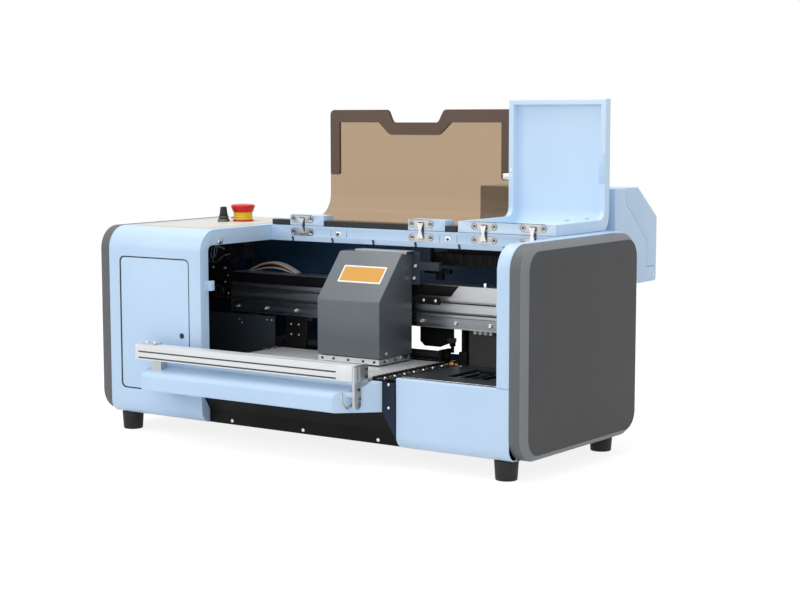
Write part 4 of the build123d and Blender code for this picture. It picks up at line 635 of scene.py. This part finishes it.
def fastener_tree():
    """Sets a head on every point, turned to the point's facing and scaled to its size."""
    tree = bpy.data.node_groups.new("fasteners", "GeometryNodeTree")
    for name, way, kind in (("Geometry", "INPUT", "Geometry"), ("Head", "INPUT", "Object"),
                            ("Finish", "INPUT", "Material"), ("Geometry", "OUTPUT", "Geometry")):
        tree.interface.new_socket(name, in_out=way, socket_type="NodeSocket" + kind)
    nodes, links = tree.nodes, tree.links
    given = nodes.new("NodeGroupInput")
    result = nodes.new("NodeGroupOutput")
    head = nodes.new("GeometryNodeObjectInfo")
    facing = nodes.new("GeometryNodeInputNamedAttribute")
    facing.data_type = "FLOAT_VECTOR"
    facing.inputs["Name"].default_value = "facing"
    size = nodes.new("GeometryNodeInputNamedAttribute")
    size.data_type = "FLOAT"
    size.inputs["Name"].default_value = "size"
    align = nodes.new("FunctionNodeAlignRotationToVector")
    align.axis = "Z"
    spread = nodes.new("GeometryNodeInstanceOnPoints")
    real = nodes.new("GeometryNodeRealizeInstances")
    paint = nodes.new("GeometryNodeSetMaterial")
    for source, out, target, into in (
            (given, "Head", head, "Object"), (facing, "Attribute", align, "Vector"),
            (given, "Geometry", spread, "Points"), (head, "Geometry", spread, "Instance"),
            (align, "Rotation", spread, "Rotation"), (size, "Attribute", spread, "Scale"),
            (spread, "Instances", real, "Geometry"), (real, "Geometry", paint, "Geometry"),
            (given, "Finish", paint, "Material"), (paint, "Geometry", result, "Geometry")):
        links.new(source.outputs[out], target.inputs[into])
    return tree


FASTENERS = fastener_tree()
FASTENER_INPUTS = {item.name: item.identifier for item in FASTENERS.interface.items_tree
                   if item.in_out == "INPUT"}
HEADS = {kind: head_shape(kind) for kind in ("pan", "socket", "flush")}


def fasten(name, body, kind, spots, material=STEEL):
    """Fasteners on a body: spots of (place in mm, facing, head radius in mm)."""
    places, facings, radii = zip(*spots)
    mesh = bpy.data.meshes.new(name + "_points")
    mesh.from_pydata([at(*place) for place in places], [], [])
    facing = mesh.attributes.new("facing", "FLOAT_VECTOR", "POINT")
    facing.data.foreach_set("vector", [value for normal in facings for value in normal])
    size = mesh.attributes.new("size", "FLOAT", "POINT")
    size.data.foreach_set("value", [radius / 1000 for radius in radii])
    work = bpy.data.objects.new(name + "_points", mesh)
    bpy.context.scene.collection.objects.link(work)
    modifier = work.modifiers.new("fasteners", "NODES")
    modifier.node_group = FASTENERS
    modifier[FASTENER_INPUTS["Head"]] = HEADS[kind]
    modifier[FASTENER_INPUTS["Finish"]] = material
    return finished(work, name, body)


FRONTWARD, REARWARD, UPWARD, DOWNWARD, RIGHTWARD = (0, -1, 0), (0, 1, 0), (0, 0, 1), (0, 0, -1), (1, 0, 0)

# Places that several pieces share, in mm
PANEL_TOP = 320.4
SWITCH_X, SWITCH_Y = -262, 204
KNOB_X, KNOB_Y = -281, 178
HINGE_CENTRES = (-115.5, 107, 216.5, 298)
BASE_HOLES_Z, LEAF_HOLES_Z, HOLE_REACH = 310.25, 330.25, 16.75
RIM_FACE = 310.0
BAR_LEFT, BAR_RIGHT, BAR_FRONT, BAR_REAR, BAR_LOW, BAR_HIGH = -275, 135, -40, -18, 123.3, 145.8
GROOVE_LEFT, GROOVE_RIGHT, GROOVE_LEVELS = -269, 107, (135.4, 126.3)
COVER_LEFT, COVER_RIGHT, COVER_TOP = -174.5, 168.5, 497.0
BEND_Y, BEND_Z, BEND_OUTER, BEND_INNER = 287.0, 362.5, 40.0, 36.0
NOTCH = [(46, COVER_TOP, 7), (35, 477, 7), (-51, 477, 7), (-60, COVER_TOP, 7)]


# Pieces, each made by its own function

def slim_lid():
    """The side lid, with its upright tray half as deep as the space that it keeps clear."""
    # The lid takes the lighter copy of the casing blue: painted light on its inner face.
    lid = eased("side_lid", 1.4, LID_BLUE_PAINTED_LIGHT)
    face = RIM_FACE / 1000 + FRONT
    for vert in lid.data.vertices:
        if vert.co.y > face:
            vert.co.y = face + (vert.co.y - face) * 0.5


def side_panels():
    """The two side panels: a slate face, a lighter grey on the bevel round it as painted sheen, and a grey
    between the two in tone on the edge as painted light.
    """
    for node in ("left_side_panel", "right_side_panel"):
        panel = eased(node, 0.8, (SLATE, BEVEL_PAINTED_SHEEN_GREY, EDGE_PAINTED_LIGHT_GREY), 20)
        for face in panel.data.polygons:
            # Faces are sorted by the way they turn: the bevel gets painted sheen, the edge painted light.
            if abs(face.normal.x) < 0.92:
                face.material_index = 1 if abs(face.normal.x) > 0.3 else 2


def access_door_parts():
    """A dark rubber frame behind and in the access panel's gap, as painted shade that darkens the gap, and
    the panel's quarter-turn fastener.
    """
    form = bmesh.new()
    # Painted shade: the dark frame makes the panel's gap read dark.
    for (z0, x0), (z1, x1) in frame_boxes(69.5, 274.5, -341.5, -199.5, 6):
        slab(form, (x0, 3.1, z0), (x1, 4.1, z1), 0.2)
    ring_plate(form, round_box(-342.6, -199.3, 69.0, 275.4, 9), round_box(-339.9, -200.4, 71.0, 273.6, 8),
               -0.15, 0.6, "y")
    settle("access_panel_seal", form, "case", RUBBER)
    form = bmesh.new()
    turned(form, (-215, -0.1, 158.4), FRONTWARD,
           [(4.2, 0), (4.2, 0.7), (3.6, 1.1), (1.2, 1.1), (1.0, 0.7)], 20)
    slab(form, (-218.2, -1.5, 157.6), (-211.8, -1.0, 159.2), 0.2)
    settle("access_panel_fastener", form, "case", BLACK)


def casing_wire_clip():
    """The small wire clip under the left casing's top edge."""
    blocks("casing_wire_clip", "case", STEEL, ((-176.4, 37, 299.5), (-174.6, 51, 306), 0.5),
           ((-175.0, 40, 297.5), (-172.6, 48, 304), 0.6))


def stop_switch():
    """The stop switch: a grooved yellow collar on a red nut, contact blocks below and a marked red head."""
    x, y, top = SWITCH_X, SWITCH_Y, PANEL_TOP
    centre = (x, y, top)
    wave = [(15.6 - 0.9 * (i % 3 == 2), 3.0 + 1.33 * i) for i in range(10)]
    form = bmesh.new()
    turned(form, centre, UPWARD, [(16.8, 0), (16.8, 2.2), (16.0, 3.0), (10, 3.0)], 48, 1)
    turned(form, centre, UPWARD, [(10, 2.9), (14.8, 2.9)] + wave + [(14.6, 16), (10, 16)], 48)
    for left, right, reach, low, high in ((-15, 15, 15, 282, 317), (-13, -1, 13, 262, 282),
                                          (1, 13, 13, 262, 282)):
        slab(form, (x + left, y - reach, low), (x + right, y + reach, high), 0.8, 2)
    turned(form, (x, y, 316), UPWARD, [(11, 0), (11, 4.6)], 24, 2)
    piece = settle("stop_switch_collar", form, "case", (YELLOW, WIRES["red"], BLACK), 40)
    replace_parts(piece, "stop_switch_body")
    form = bmesh.new()
    turned(form, centre, UPWARD,
           [(9, 14.6), (15.8, 14.6), (16.4, 15.4), (18.4, 21.0), (19.7, 23.2), (19.4, 25.4), (17.4, 26.8),
            (13.5, 27.4), (8, 27.0), (4, 26.8)], 64)
    piece = settle("stop_switch_mushroom", form, "stop_switch_head", RED, 40)
    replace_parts(piece, "stop_switch_head")
    form = bmesh.new()
    for k in range(3):
        middle = k * 2 * math.pi / 3 + 0.3
        ring = [(x + r * math.cos(middle + turn * (i / 3 - 1)), y + r * math.sin(middle + turn * (i / 3 - 1)))
                for r, turn in ((13.5, 0.34), (11.0, -0.34)) for i in range(7)]
        plate(form, ring, top + 27.1, top + 27.5, "z", 0)
    settle("stop_switch_turn_marks", form, "stop_switch_head", LABEL_WHITE)


def selector():
    """The ribbed selector knob on its stacked rings, and the two small fixings behind it."""
    x, y, top = KNOB_X, KNOB_Y, PANEL_TOP

    def ribbed(radius):
        return lambda angle: radius + 0.3 * math.cos(18 * angle)

    centre = (x, y, top)
    form = bmesh.new()
    turned(form, centre, UPWARD, [(6.9, 9.8), (7.1, 10.2), (7.1, 11.8), (6.2, 12.5)], 72)
    turned(form, centre, UPWARD,
           [(ribbed(5.9), 12.4), (ribbed(5.7), 14), (ribbed(5.0), 22.6), (4.4, 23.8), (2.0, 24.0)], 144)
    piece = settle("selector_knob_ribbed", form, "selector_knob", BLACK, 50)
    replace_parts(piece, "selector_knob")
    blocks("selector_knob_pointer", "selector_knob", LABEL_WHITE,
           ((x - 0.5, y - 6.2, top + 23.7), (x + 0.5, y - 0.5, top + 24.2), 0.1))
    form = bmesh.new()
    turned(form, centre, UPWARD, [(7.2, 0.1), (9.6, 0.1), (9.6, 3.2), (8.8, 4.2), (7.4, 4.4)], 48)
    turned(form, centre, UPWARD, [(6.6, 4.2), (8.0, 4.2), (8.0, 6.6), (6.6, 6.6)], 48, 1)
    turned(form, centre, UPWARD, [(6.4, 6.5), (8.0, 6.5), (8.2, 7.4), (8.0, 9.0), (6.6, 9.5)], 48)
    for dx in (-44, -34):
        turned(form, (x + dx, y + 76, top - 0.3), UPWARD, [(3.2, 0), (3.2, 1.6), (2.4, 2.4), (1.0, 2.5)], 20)
    settle("control_panel_silver_fittings", form, "case", (DULL_STEEL, BLACK), 40)


def control_panel_trim():
    """The film's raised border and the line inside it on the control panel."""
    form = bmesh.new()
    left, right, front, rear, top = -349.2, -192.8, 36.8, 289.2, PANEL_TOP + 0.05
    for inset in (0, 9):
        for (x0, y0), (x1, y1) in frame_boxes(left + inset, right - inset, front + inset, rear - inset, 0.6):
            slab(form, (x0, y0, top - 0.3), (x1, y1, top + 0.12), 0.05, 0, 1)
    settle("control_panel_lines", form, "case", STRIP_GREY)


def wiring():
    """The loose wires from the stop switch and the selector, tied into a sleeved bundle."""
    form = bmesh.new()
    runs = [
        (0, 0.9, [(-276, 186, 268), (-300, 196, 262), (-326, 210, 250), (-348, 224, 256), (-352, 230, 276)]),
        (0, 0.9, [(-282, 180, 276), (-306, 186, 280), (-322, 200, 262), (-340, 214, 246), (-354, 226, 252)]),
        (1, 0.9, [(-270, 196, 262), (-292, 210, 254), (-318, 224, 264), (-344, 236, 270), (-356, 240, 284)]),
        (2, 0.9, [(-280, 188, 262), (-304, 200, 248), (-328, 214, 240), (-350, 226, 244), (-356, 236, 260)]),
        (2, 0.9, [(-256, 200, 262), (-276, 214, 246), (-306, 226, 240), (-336, 236, 250), (-354, 244, 268)]),
        (0, 0.8, [(-318, 200, 300), (-320, 206, 284), (-326, 212, 268), (-334, 216, 258)]),
        (3, 1.1, [(-248, 210, 262), (-254, 226, 250), (-262, 240, 236), (-268, 246, 214), (-270, 250, 190)]),
        (4, 3.2, [(-262, 226, 290), (-270, 234, 276), (-284, 240, 268), (-296, 246, 274), (-310, 250, 288)]),
        (4, 2.6, [(-256, 222, 280), (-268, 230, 264), (-286, 236, 258), (-304, 240, 264)]),
        (3, 2.2, [(-264, 230, 284), (-276, 240, 262), (-282, 250, 240), (-286, 256, 214), (-288, 258, 186)]),
    ]
    for finish, radius, points in runs:
        strand(form, points, radius, 8, finish)
    settle("inner_wiring", form, "case",
           (WIRES["white"], WIRES["red"], WIRES["blue"], WIRES["black"], WIRES["navy"]), 60)
    blocks("wire_ties", "case", BLACK, *(((x - 1.2, y - 4.6, z - 4.6), (x + 1.2, y + 4.6, z + 4.6), 1.2)
                                         for x, y, z in ((-270, 234, 274), (-294, 245, 272))))


def flat_cable_strands():
    """The carriage's flat cable: a bowed band of silver conductors over an orange and a black layer."""
    form = bmesh.new()
    middle, half, front, wide, clip_level = -206, 48, 208.2, 11.6, 240.6
    for layer, finish, rise, count in ((0, 0, 15.4, 7), (1, 1, 13.6, 7), (2, 2, 11.8, 7), (3, 0, 6.9, 5)):
        reach = 1 - 0.035 * layer
        for k in range(count):
            y = front + k * wide / (count - 1)
            points = [(middle + dx * reach, y, clip_level + rise * math.cos(dx / half * math.pi / 2))
                      for dx in (-47.5, -36, -20, 0, 20, 36, 47.5)]
            strand(form, points, 0.95, 6, finish, 4)
    piece = settle("flat_cable_band", form, "case", (WIRES["white"], WIRES["orange"], WIRES["black"]), 60)
    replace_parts(piece, "flat_cable")


def runway_details():
    """The beam's upper strip, rail bolts and stud, the motor plate's parts and the left roller hanger."""
    form = bmesh.new()
    plate(form, [(-271.5, 223.5), (150, 223.5), (164, 239.6), (-271.5, 239.6)], 184.1, 185.3, "y", 0.2)
    settle("beam_upper_strip", form, "case", CHAIN_BLACK)
    first, pitch = -252, 59.6
    fasten("guide_rail_bolts", "case", "socket",
           [((first + pitch * k, 176.9, 186), FRONTWARD, 2.9) for k in range(10)])
    fasten("motor_plate_screws", "case", "pan",
           [((x, 184.4, z), FRONTWARD, radius) for x, z, radius in (
               (-285, 245, 2.4), (-279.5, 233, 2.0), (-285.4, 222, 2.2), (-279, 204, 2.6), (-310, 245, 2.4))])
    fasten("guard_screws", "case", "pan", [((x, 173.4, z), FRONTWARD, 1.5)
                                           for x, z in ((-246, 166), (-241, 160), (-190, 168), (-180, 168))])
    form = bmesh.new()
    turned(form, (202.7, 198, 240), UPWARD, [(3.6, -0.2), (3.6, 4.6), (3.0, 5.4), (1.2, 5.4)], 24)
    turned(form, (-298, 184.4, 207), FRONTWARD, [(10.5, 0), (10.5, 0.8), (9.6, 1.2), (8.7, 1.2)], 36)
    settle("beam_stud_and_motor_boss", form, "case", STEEL, 40)
    form = bmesh.new()
    hanger = rounded([(-160, 121), (-122, 121), (-122, 175.4, 2), (-160, 175.4, 2)])
    plate(form, hanger, 186.5, 189.5, "y", 0.4)
    slab(form, (-158, 189.4, 168), (-124, 206, 175.4), 0.5)
    settle("roller_hanger_left", form, "case", BLACK_COAT)
    fasten("roller_hanger_screws", "case", "socket",
           [((x, 186.4, z), FRONTWARD, 1.8) for x in (-150, -135) for z in (147, 163)])


def rear_opening_parts():
    """What is seen through the opening on the right: hangers, a lever, the coupling and connectors."""
    form = bmesh.new()
    plate(form, rounded([(76, 176), (76, 150), (84, 143, 2), (112, 143, 2), (130, 150), (130, 176)]),
          214, 217, "y", 0.4)
    slab(form, (76, 216, 160), (130, 224, 176), 0.6)
    slab(form, (155.5, 206, 112), (161, 232, 176), 0.6)
    slab(form, (161, 190, 100), (175, 205, 142), 0.8)
    turned(form, (134, 215, 176), DOWNWARD,
           [(2.6, 0), (2.6, 22), (4.6, 23), (4.6, 30), (2.6, 31), (2.6, 40)], 20)
    settle("roller_hangers_right", form, "case", BLACK_COAT)
    form = bmesh.new()
    turned(form, (134, 215, 158), DOWNWARD, [(5.2, 0), (6.0, 1), (6.0, 6), (5.2, 7)], 6)
    slab(form, (126, 212.8, 153.5), (140, 213.9, 157), 0.4)
    settle("feed_lever", form, "case", BOX_COAT)
    form = bmesh.new()
    turned(form, (148, 190, 122), RIGHTWARD,
           [(5.5, 0), (6.5, 0.8), (6.5, 8), (5.2, 8.8), (3, 8.8), (3, 13)], 28)
    settle("feed_coupling", form, "case", BRASS, 40)
    blocks("service_box_connectors", "case", WHITE_WIRE,
           *(((x, 190.6, 170), (x + 5.5, 195.4, 176.8), 0.6) for x in (186, 195, 204, 213)))


def platen_details():
    """The platen's bright lip, the gripper clips on its left rail, and the right rail's slides and screws."""
    blocks("platen_bright_edges", "case", STEEL,
           ((-166.8, -5.3, 124.2), (139.3, -4.6, 125.6), 0.2), ((147.2, 3, 123.4), (148.4, 181, 124.6), 0.2),
           ((158.5, 3, 123.4), (159.7, 181, 124.6), 0.2), ((139.7, 3, 126.4), (140.5, 181, 127.0), 0.2),
           ((166, 37, 123.4), (344.2, 38.6, 124.3), 0.3))
    blocks("platen_gripper_clips", "case", STEEL, *(
        box for y in (138, 152, 166) for box in (((-172.8, y, 126.4), (-166, y + 8, 127.6), 0.4),
                                                 ((-167.5, y + 1.5, 126.0), (-160, y + 6.5, 127.2), 0.4))))
    fasten("platen_rail_screws", "case", "socket",
           [((153, 14 + 24 * k, 123.4), UPWARD, 2.2) for k in range(7)])
    fasten("deck_screws", "case", "flush", [((x, y, 123.6), UPWARD, 2.6)
                                            for x in (174, 336) for y in (22, 176)])


def capping_details():
    """The capping unit's rubber rims and its silver yoke."""
    form = bmesh.new()
    for x in (232, 262):
        ring_plate(form, round_box(x - 10, x + 10, 96, 148, 3, 4), round_box(x - 7, x + 7, 99, 145, 2, 4),
                   119.4, 120.7)
    settle("capping_rims", form, "capping_unit", ROLLER_RUBBER)
    blocks("capping_yoke", "capping_unit", STEEL, ((217, 86, 119.3), (277, 90.5, 120.9), 0.5),
           ((217, 90.5, 119.3), (220.5, 156, 120.9), 0.5), ((273.5, 90.5, 119.3), (277, 156, 120.9), 0.5))


def hinge_details():
    """Countersunk screws in every leaf, dark ties in the beam's notches, and the small oval fittings."""
    for name, body, centres, z in (("hinge_base", "case", HINGE_CENTRES, BASE_HOLES_Z),
                                   ("cover_leaf", "cover", HINGE_CENTRES[:2], LEAF_HOLES_Z),
                                   ("lid_leaf", "lid", HINGE_CENTRES[2:], LEAF_HOLES_Z)):
        holes = [x + side * HOLE_REACH for x in centres for side in (-1, 1)]
        # Painted shade: a flat dark steel ring round each screw stands for the shade in its countersink.
        form = bmesh.new()
        for x in holes:
            turned(form, (x, 171.1, z), FRONTWARD, [(4.5, 0), (4.5, 0.22), (3.4, 0.24)])
        settle(name + "_countersinks", form, body, DULL_STEEL)
        fasten(name + "_screws", body, "flush", [((x, 171.3, z), FRONTWARD, 3.5) for x in holes])
    form = bmesh.new()
    for x in range(-134, 340, 77):
        strand(form, [(x - 2, 171.6, 302), (x, 170.6, 300.5), (x + 1.5, 170.4, 298), (x, 170.6, 295.5),
                      (x - 1, 173, 294.2)], 1.0)
        turned(form, (x, 171.0, 300.8), FRONTWARD, [(1.9, 0), (1.9, 0.8), (1.2, 1.2)], 12)
    settle("hinge_beam_ties", form, "case", BLACK)
    form = bmesh.new()
    slots = bmesh.new()
    ovals = (-45.3, 154.4)
    for x in ovals:
        plate(form, round_box(x - 5, x + 5, 306.4, 312.8, 3, 5), 170.2, 171.2, "y", 0.3)
        for dx in (-15, 15):
            slab(slots, (x + dx, 170.8, 304.5), (x + dx + 1.1, 171.2, 315), 0.2)
    settle("hinge_beam_ovals", form, "case", STEEL)
    # The slot strips are painted shade in the beam's blue.
    settle("hinge_beam_slots", slots, "case", SLOT_SHADOW_BLUE)
    fasten("hinge_beam_oval_screws", "case", "pan",
           [((x, 170.3, 309.6), FRONTWARD, 2.2) for x in ovals], DULL_STEEL)


def bent_cover():
    """The smoked cover as one sheet: a flat foot, a wide bend and an upright with a rounded finger notch."""
    steps, foot_reach = 14, 103
    form = bmesh.new()
    angles = [math.pi / 2 * k / steps for k in range(steps + 1)]
    upright = [(COVER_RIGHT, BEND_Z), (COVER_RIGHT, COVER_TOP, 8)] + NOTCH
    top = rounded(upright + [(COVER_LEFT, COVER_TOP, 8), (COVER_LEFT, BEND_Z)], 6)[1:-1]
    skins = []
    for radius in (BEND_OUTER, BEND_INNER):
        line = [(BEND_Y - foot_reach, BEND_Z - radius)]
        line += [(BEND_Y + radius * math.sin(a), BEND_Z - radius * math.cos(a)) for a in angles]
        left = [form.verts.new(at(COVER_LEFT, y, z)) for y, z in line]
        right = [form.verts.new(at(COVER_RIGHT, y, z)) for y, z in line]
        crest = [form.verts.new(at(x, BEND_Y + radius, z)) for x, z in top]
        for i in range(len(line) - 1):
            form.faces.new((left[i], right[i], right[i + 1], left[i + 1]))
        form.faces.new([left[-1], right[-1]] + crest)
        skins.append(left[::-1] + right + crest)
    for i in range(len(skins[0])):
        j = (i + 1) % len(skins[0])
        form.faces.new((skins[0][i], skins[0][j], skins[1][j], skins[1][i]))
    bmesh.ops.recalc_face_normals(form, faces=form.faces)
    piece = settle("smoked_cover_sheet", form, "cover", BRONZE, 20)
    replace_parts(piece, "smoked_cover")


def cover_border():
    """The cover's border along its top, round its notch and down both sides, and its edge clip."""
    edge = 0.2
    outer = [(COVER_LEFT + edge, 393, 4), (COVER_LEFT + edge, COVER_TOP - edge, 8)]
    outer += [(x, z - edge, r) for x, z, r in NOTCH[::-1]]
    outer += [(COVER_RIGHT - edge, COVER_TOP - edge, 8), (COVER_RIGHT - edge, 390, 4)]
    inner = [(150.5, 390, 4), (150.5, 477, 1), (59, 477, 3), (37, 457.5, 14), (-57, 457.5, 14),
             (-78.5, 477, 3), (-156.3, 477, 1), (-156.3, 393, 4)]
    ring = rounded(outer + inner, 6)
    form = bmesh.new()
    for y in (322.55, 327.05):
        plate(form, ring, y, y + 0.4, "y", 0)
    settle("cover_border", form, "cover", BORDER_BROWN)
    form = bmesh.new()
    plate(form, round_box(154, 168, 391, 400, 1, 3), 321.6, 322.6, "y", 0.2)
    slab(form, (157, 320.6, 393), (162, 322, 398), 0.4)
    settle("cover_edge_clip", form, "cover", STEEL)


def carriage_details():
    """The carriage's blank label, light top strip, screws, belt clamp block and head plate screws."""
    low, high = Vector((86, 220)), Vector((143, 287))
    slope = (high - low).normalized()
    out = Vector((-slope.y, slope.x))

    def sheet(form, x0, x1, a0, a1, under, over, index=0):
        rings = []
        for lift in (under, over):
            places = [(x, low + slope * along + out * lift) for x, along in round_box(x0, x1, a0, a1, 1.5, 4)]
            rings.append([at(x, *place) for x, place in places])
        tube(form, rings, index)

    form = bmesh.new()
    sheet(form, 0.0, 78.0, 32.2, 62.8, -0.05, 0.18)
    sheet(form, 2.6, 75.4, 34.8, 60.2, 0.1, 0.26, 1)
    settle("carriage_blank_label", form, "carriage", (LABEL_WHITE, LABEL_ORANGE))
    blocks("carriage_top_strip", "carriage", STRIP_GREY, ((0.6, 151.5, 289.3), (94.4, 172, 290.2), 0.3),
           ((0.6, 150.7, 285.5), (94.4, 151.6, 290.2), 0.3))
    fasten("carriage_screws", "carriage", "socket",
           [((x, 169.9, z), FRONTWARD, 2.8) for x, z in ((98.6, 267.7), (96.5, 249.6))]
           + [((91.6, y, z), RIGHTWARD, 2.2) for y, z in ((103, 143.3), (105.5, 132.6), (138.6, 134.8))])
    blocks("belt_clamp_block", "carriage", CHAIN_BLACK, ((92, 170.6, 212), (140, 174.4, 222.6), 0.8),
           ((92, 169.4, 214), (106, 170.8, 220), 0.5))
    fasten("belt_clamp_screws", "carriage", "pan",
           [((x, 170.5, 217.5), FRONTWARD, 2.6) for x in (112, 133)])
    fasten("head_plate_screws", "carriage", "pan",
           [((x, 86.4, 132), FRONTWARD, 2.1) for x in (-13, 8, 35, 62, 82)]
           + [((90.6, y, 132), RIGHTWARD, 2.1) for y in (100, 128, 152)], DULL_STEEL)


def chain_links():
    """The cable chain's own links, ribbed black segments on one pitch, and the sensor beside them."""
    form = bmesh.new()
    first, pitch, count = 112, 17.0, 13
    for k in range(count):
        x = first + pitch * k
        plate(form, rounded([(x, 269.5, 3), (x + pitch - 2.2, 269.5, 3), (x + pitch - 2.2, 286.4, 4),
                             (x, 286.4, 4)], 4), 202.0, 205.0, "y", 0.5)
        slab(form, (x + 1.5, 201.2, 272), (x + 4.5, 202.2, 284.5), 0.5)
        slab(form, (x + 4, 201.6, 267.0), (x + 11, 228, 268.3), 0.5)
    settle("cable_chain_links", form, "case", CHAIN_BLACK)
    blocks("chain_sensor", "case", CHAIN_BLACK, ((96, 196, 255), (140, 206, 262), 0.8),
           ((118, 194, 246), (128, 204, 256), 0.8), ((104, 199, 261), (108, 205, 292), 0.6))


def guide_bar():
    """The guide bar: an extrusion with two grooves in shadow along its face, and its strap's two ridges."""
    face = [(BAR_REAR, BAR_LOW), (BAR_REAR, BAR_HIGH), (BAR_FRONT, BAR_HIGH)]
    for z in GROOVE_LEVELS:
        face += [(BAR_FRONT + deep, z + side) for deep, side in ((0, 1.2), (2, 1.2), (2, -1.2), (0, -1.2))]
    form = bmesh.new()
    plate(form, face + [(BAR_FRONT, BAR_LOW)], GROOVE_LEFT, GROOVE_RIGHT, "x", 0)
    slab(form, (BAR_LEFT, BAR_FRONT, BAR_LOW), (GROOVE_LEFT + 0.1, BAR_REAR, BAR_HIGH), 0.4)
    slab(form, (GROOVE_RIGHT - 0.1, BAR_FRONT, BAR_LOW), (BAR_RIGHT, BAR_REAR, BAR_HIGH), 0.4)
    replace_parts(settle("guide_bar_extrusion", form, "case", ALUMINIUM), "guide_bar")
    left, right, front, rear = GROOVE_LEFT + 0.2, GROOVE_RIGHT - 0.2, BAR_FRONT + 1.3, BAR_FRONT + 2.1
    blocks("guide_bar_groove_shadow_strips", "case", GROOVE_GREY,
           *(((left, front, z - 1.1), (right, rear, z + 1.1), 0.1) for z in GROOVE_LEVELS))
    blocks("strap_ridges", "case", STRAP_METAL,
           *(((139, y, 122), (140.6, y + 3, 143), 0.5) for y in (-37.5, -28.5)))


def tray_and_bar_details():
    """Screws and rivets on the guide bar's strap and post, the tray, the apron and the strip."""
    fasten("strap_screws", "case", "socket",
           [((139.1, y, z), RIGHTWARD, radius) for y, z, radius in (
               (-13, 139.8, 2.6), (-13, 128.8, 2.6), (-31, 112, 2.2), (-27.5, 99, 1.6))], DULL_STEEL)
    fasten("bar_post_screws", "case", "socket",
           [((-236, -36.1, 133), FRONTWARD, 2.4)] + [((x, -27, 148), UPWARD, 2.4) for x in (-262, -246)])
    fasten("apron_screws", "case", "pan",
           [((x, 17.9, 34), FRONTWARD, 2.9) for x in (-131.7, 3.7, 138.5)])
    fasten("strip_screws", "case", "pan", [((170.5, -2.1, z), FRONTWARD, 2.1) for z in (118, 85.4)])
    fasten("tray_screws", "case", "flush", [((x, -20, 121.4), UPWARD, 2.4) for x in (-200, 90)])


def ink_box_details():
    """The ink box's dark left plate and the screws along its seams."""
    form = bmesh.new()
    plate(form, rounded([(343.5, 237), (471, 237, 3), (471, 332), (410, 378.5, 2), (343.5, 378.5, 3)], 4),
          100.2, 101.1, "x", 0.2)
    settle("ink_box_left_plate", form, "case", INK_GREY)
    fasten("ink_box_screws", "case", "pan",
           [((336.1, y, z), RIGHTWARD, radius) for y, z, radius in (
               (384, 351, 1.6), (384, 345, 1.6), (350, 244, 2.0), (464, 244, 2.0))])


def lid_details():
    """The side lid's rim pad, the two stops on its lower lip and the two dots beside its left edge."""
    blocks("lid_stops", "lid", BLUE, ((325, 309.3, 388.5), (334.4, 310.4, 433), 0.5),
           ((300, 252, 336.2), (304, 262, 338.6), 0.8), ((306, 300, 336.2), (310, 309, 338.6), 0.8))
    fasten("lid_dots", "lid", "flush", [((176, 309.9, z), FRONTWARD, 1.8) for z in (407, 398)])


def rear_details():
    """The rear panel's vent filters, screws and the inlet's three pins."""
    blocks("vent_filters", "case", RUBBER, *(((x - 33, 310.6, z - 43), (x + 33, 312.4, z + 43), 0.4)
                                             for x, z in ((-315, 132), (215, 90), (285, 90))))
    fasten("rear_panel_screws", "case", "pan",
           [((x, 316.1, z), REARWARD, 2.6) for x in (-354, -120, 120, 354) for z in (40, 300)]
           + [((x, 316.1, 172), REARWARD, 2.6) for x in (-354, 354)])
    blocks("inlet_pins", "case", BRASS, *(((x - 1.0, 300.8, z - 2.2), (x + 1.0, 314.5, z + 2.2), 0.4)
                                          for x, z in ((-307, 70), (-293, 70), (-300, 75))))


aim_camera()
studio()
for node, width in (("right_low_casing", 1.6), ("right_pillar", 1.2), ("ink_box", 1.2), ("ink_box_lid", 1.0),
                    ("front_tray", 1.6), ("carriage_cover", 0.8), ("cover_blocks", 0.35), ("hinge_beam", 0.6),
                    ("access_panel", 0.6), ("left_casing", 0.8), ("feet", 1.5), ("catches", 0.6),
                    ("apron_strip", 0.4), ("front_apron", 0.5)):
    eased(node, width)
for build in (slim_lid, side_panels, access_door_parts, casing_wire_clip, stop_switch, selector,
              control_panel_trim, wiring, flat_cable_strands, runway_details, rear_opening_parts,
              platen_details, capping_details, hinge_details, bent_cover, cover_border, carriage_details,
              chain_links, guide_bar, tray_and_bar_details, ink_box_details, lid_details, rear_details):
    build()
for pattern_head in HEADS.values():
    bpy.data.objects.remove(pattern_head)
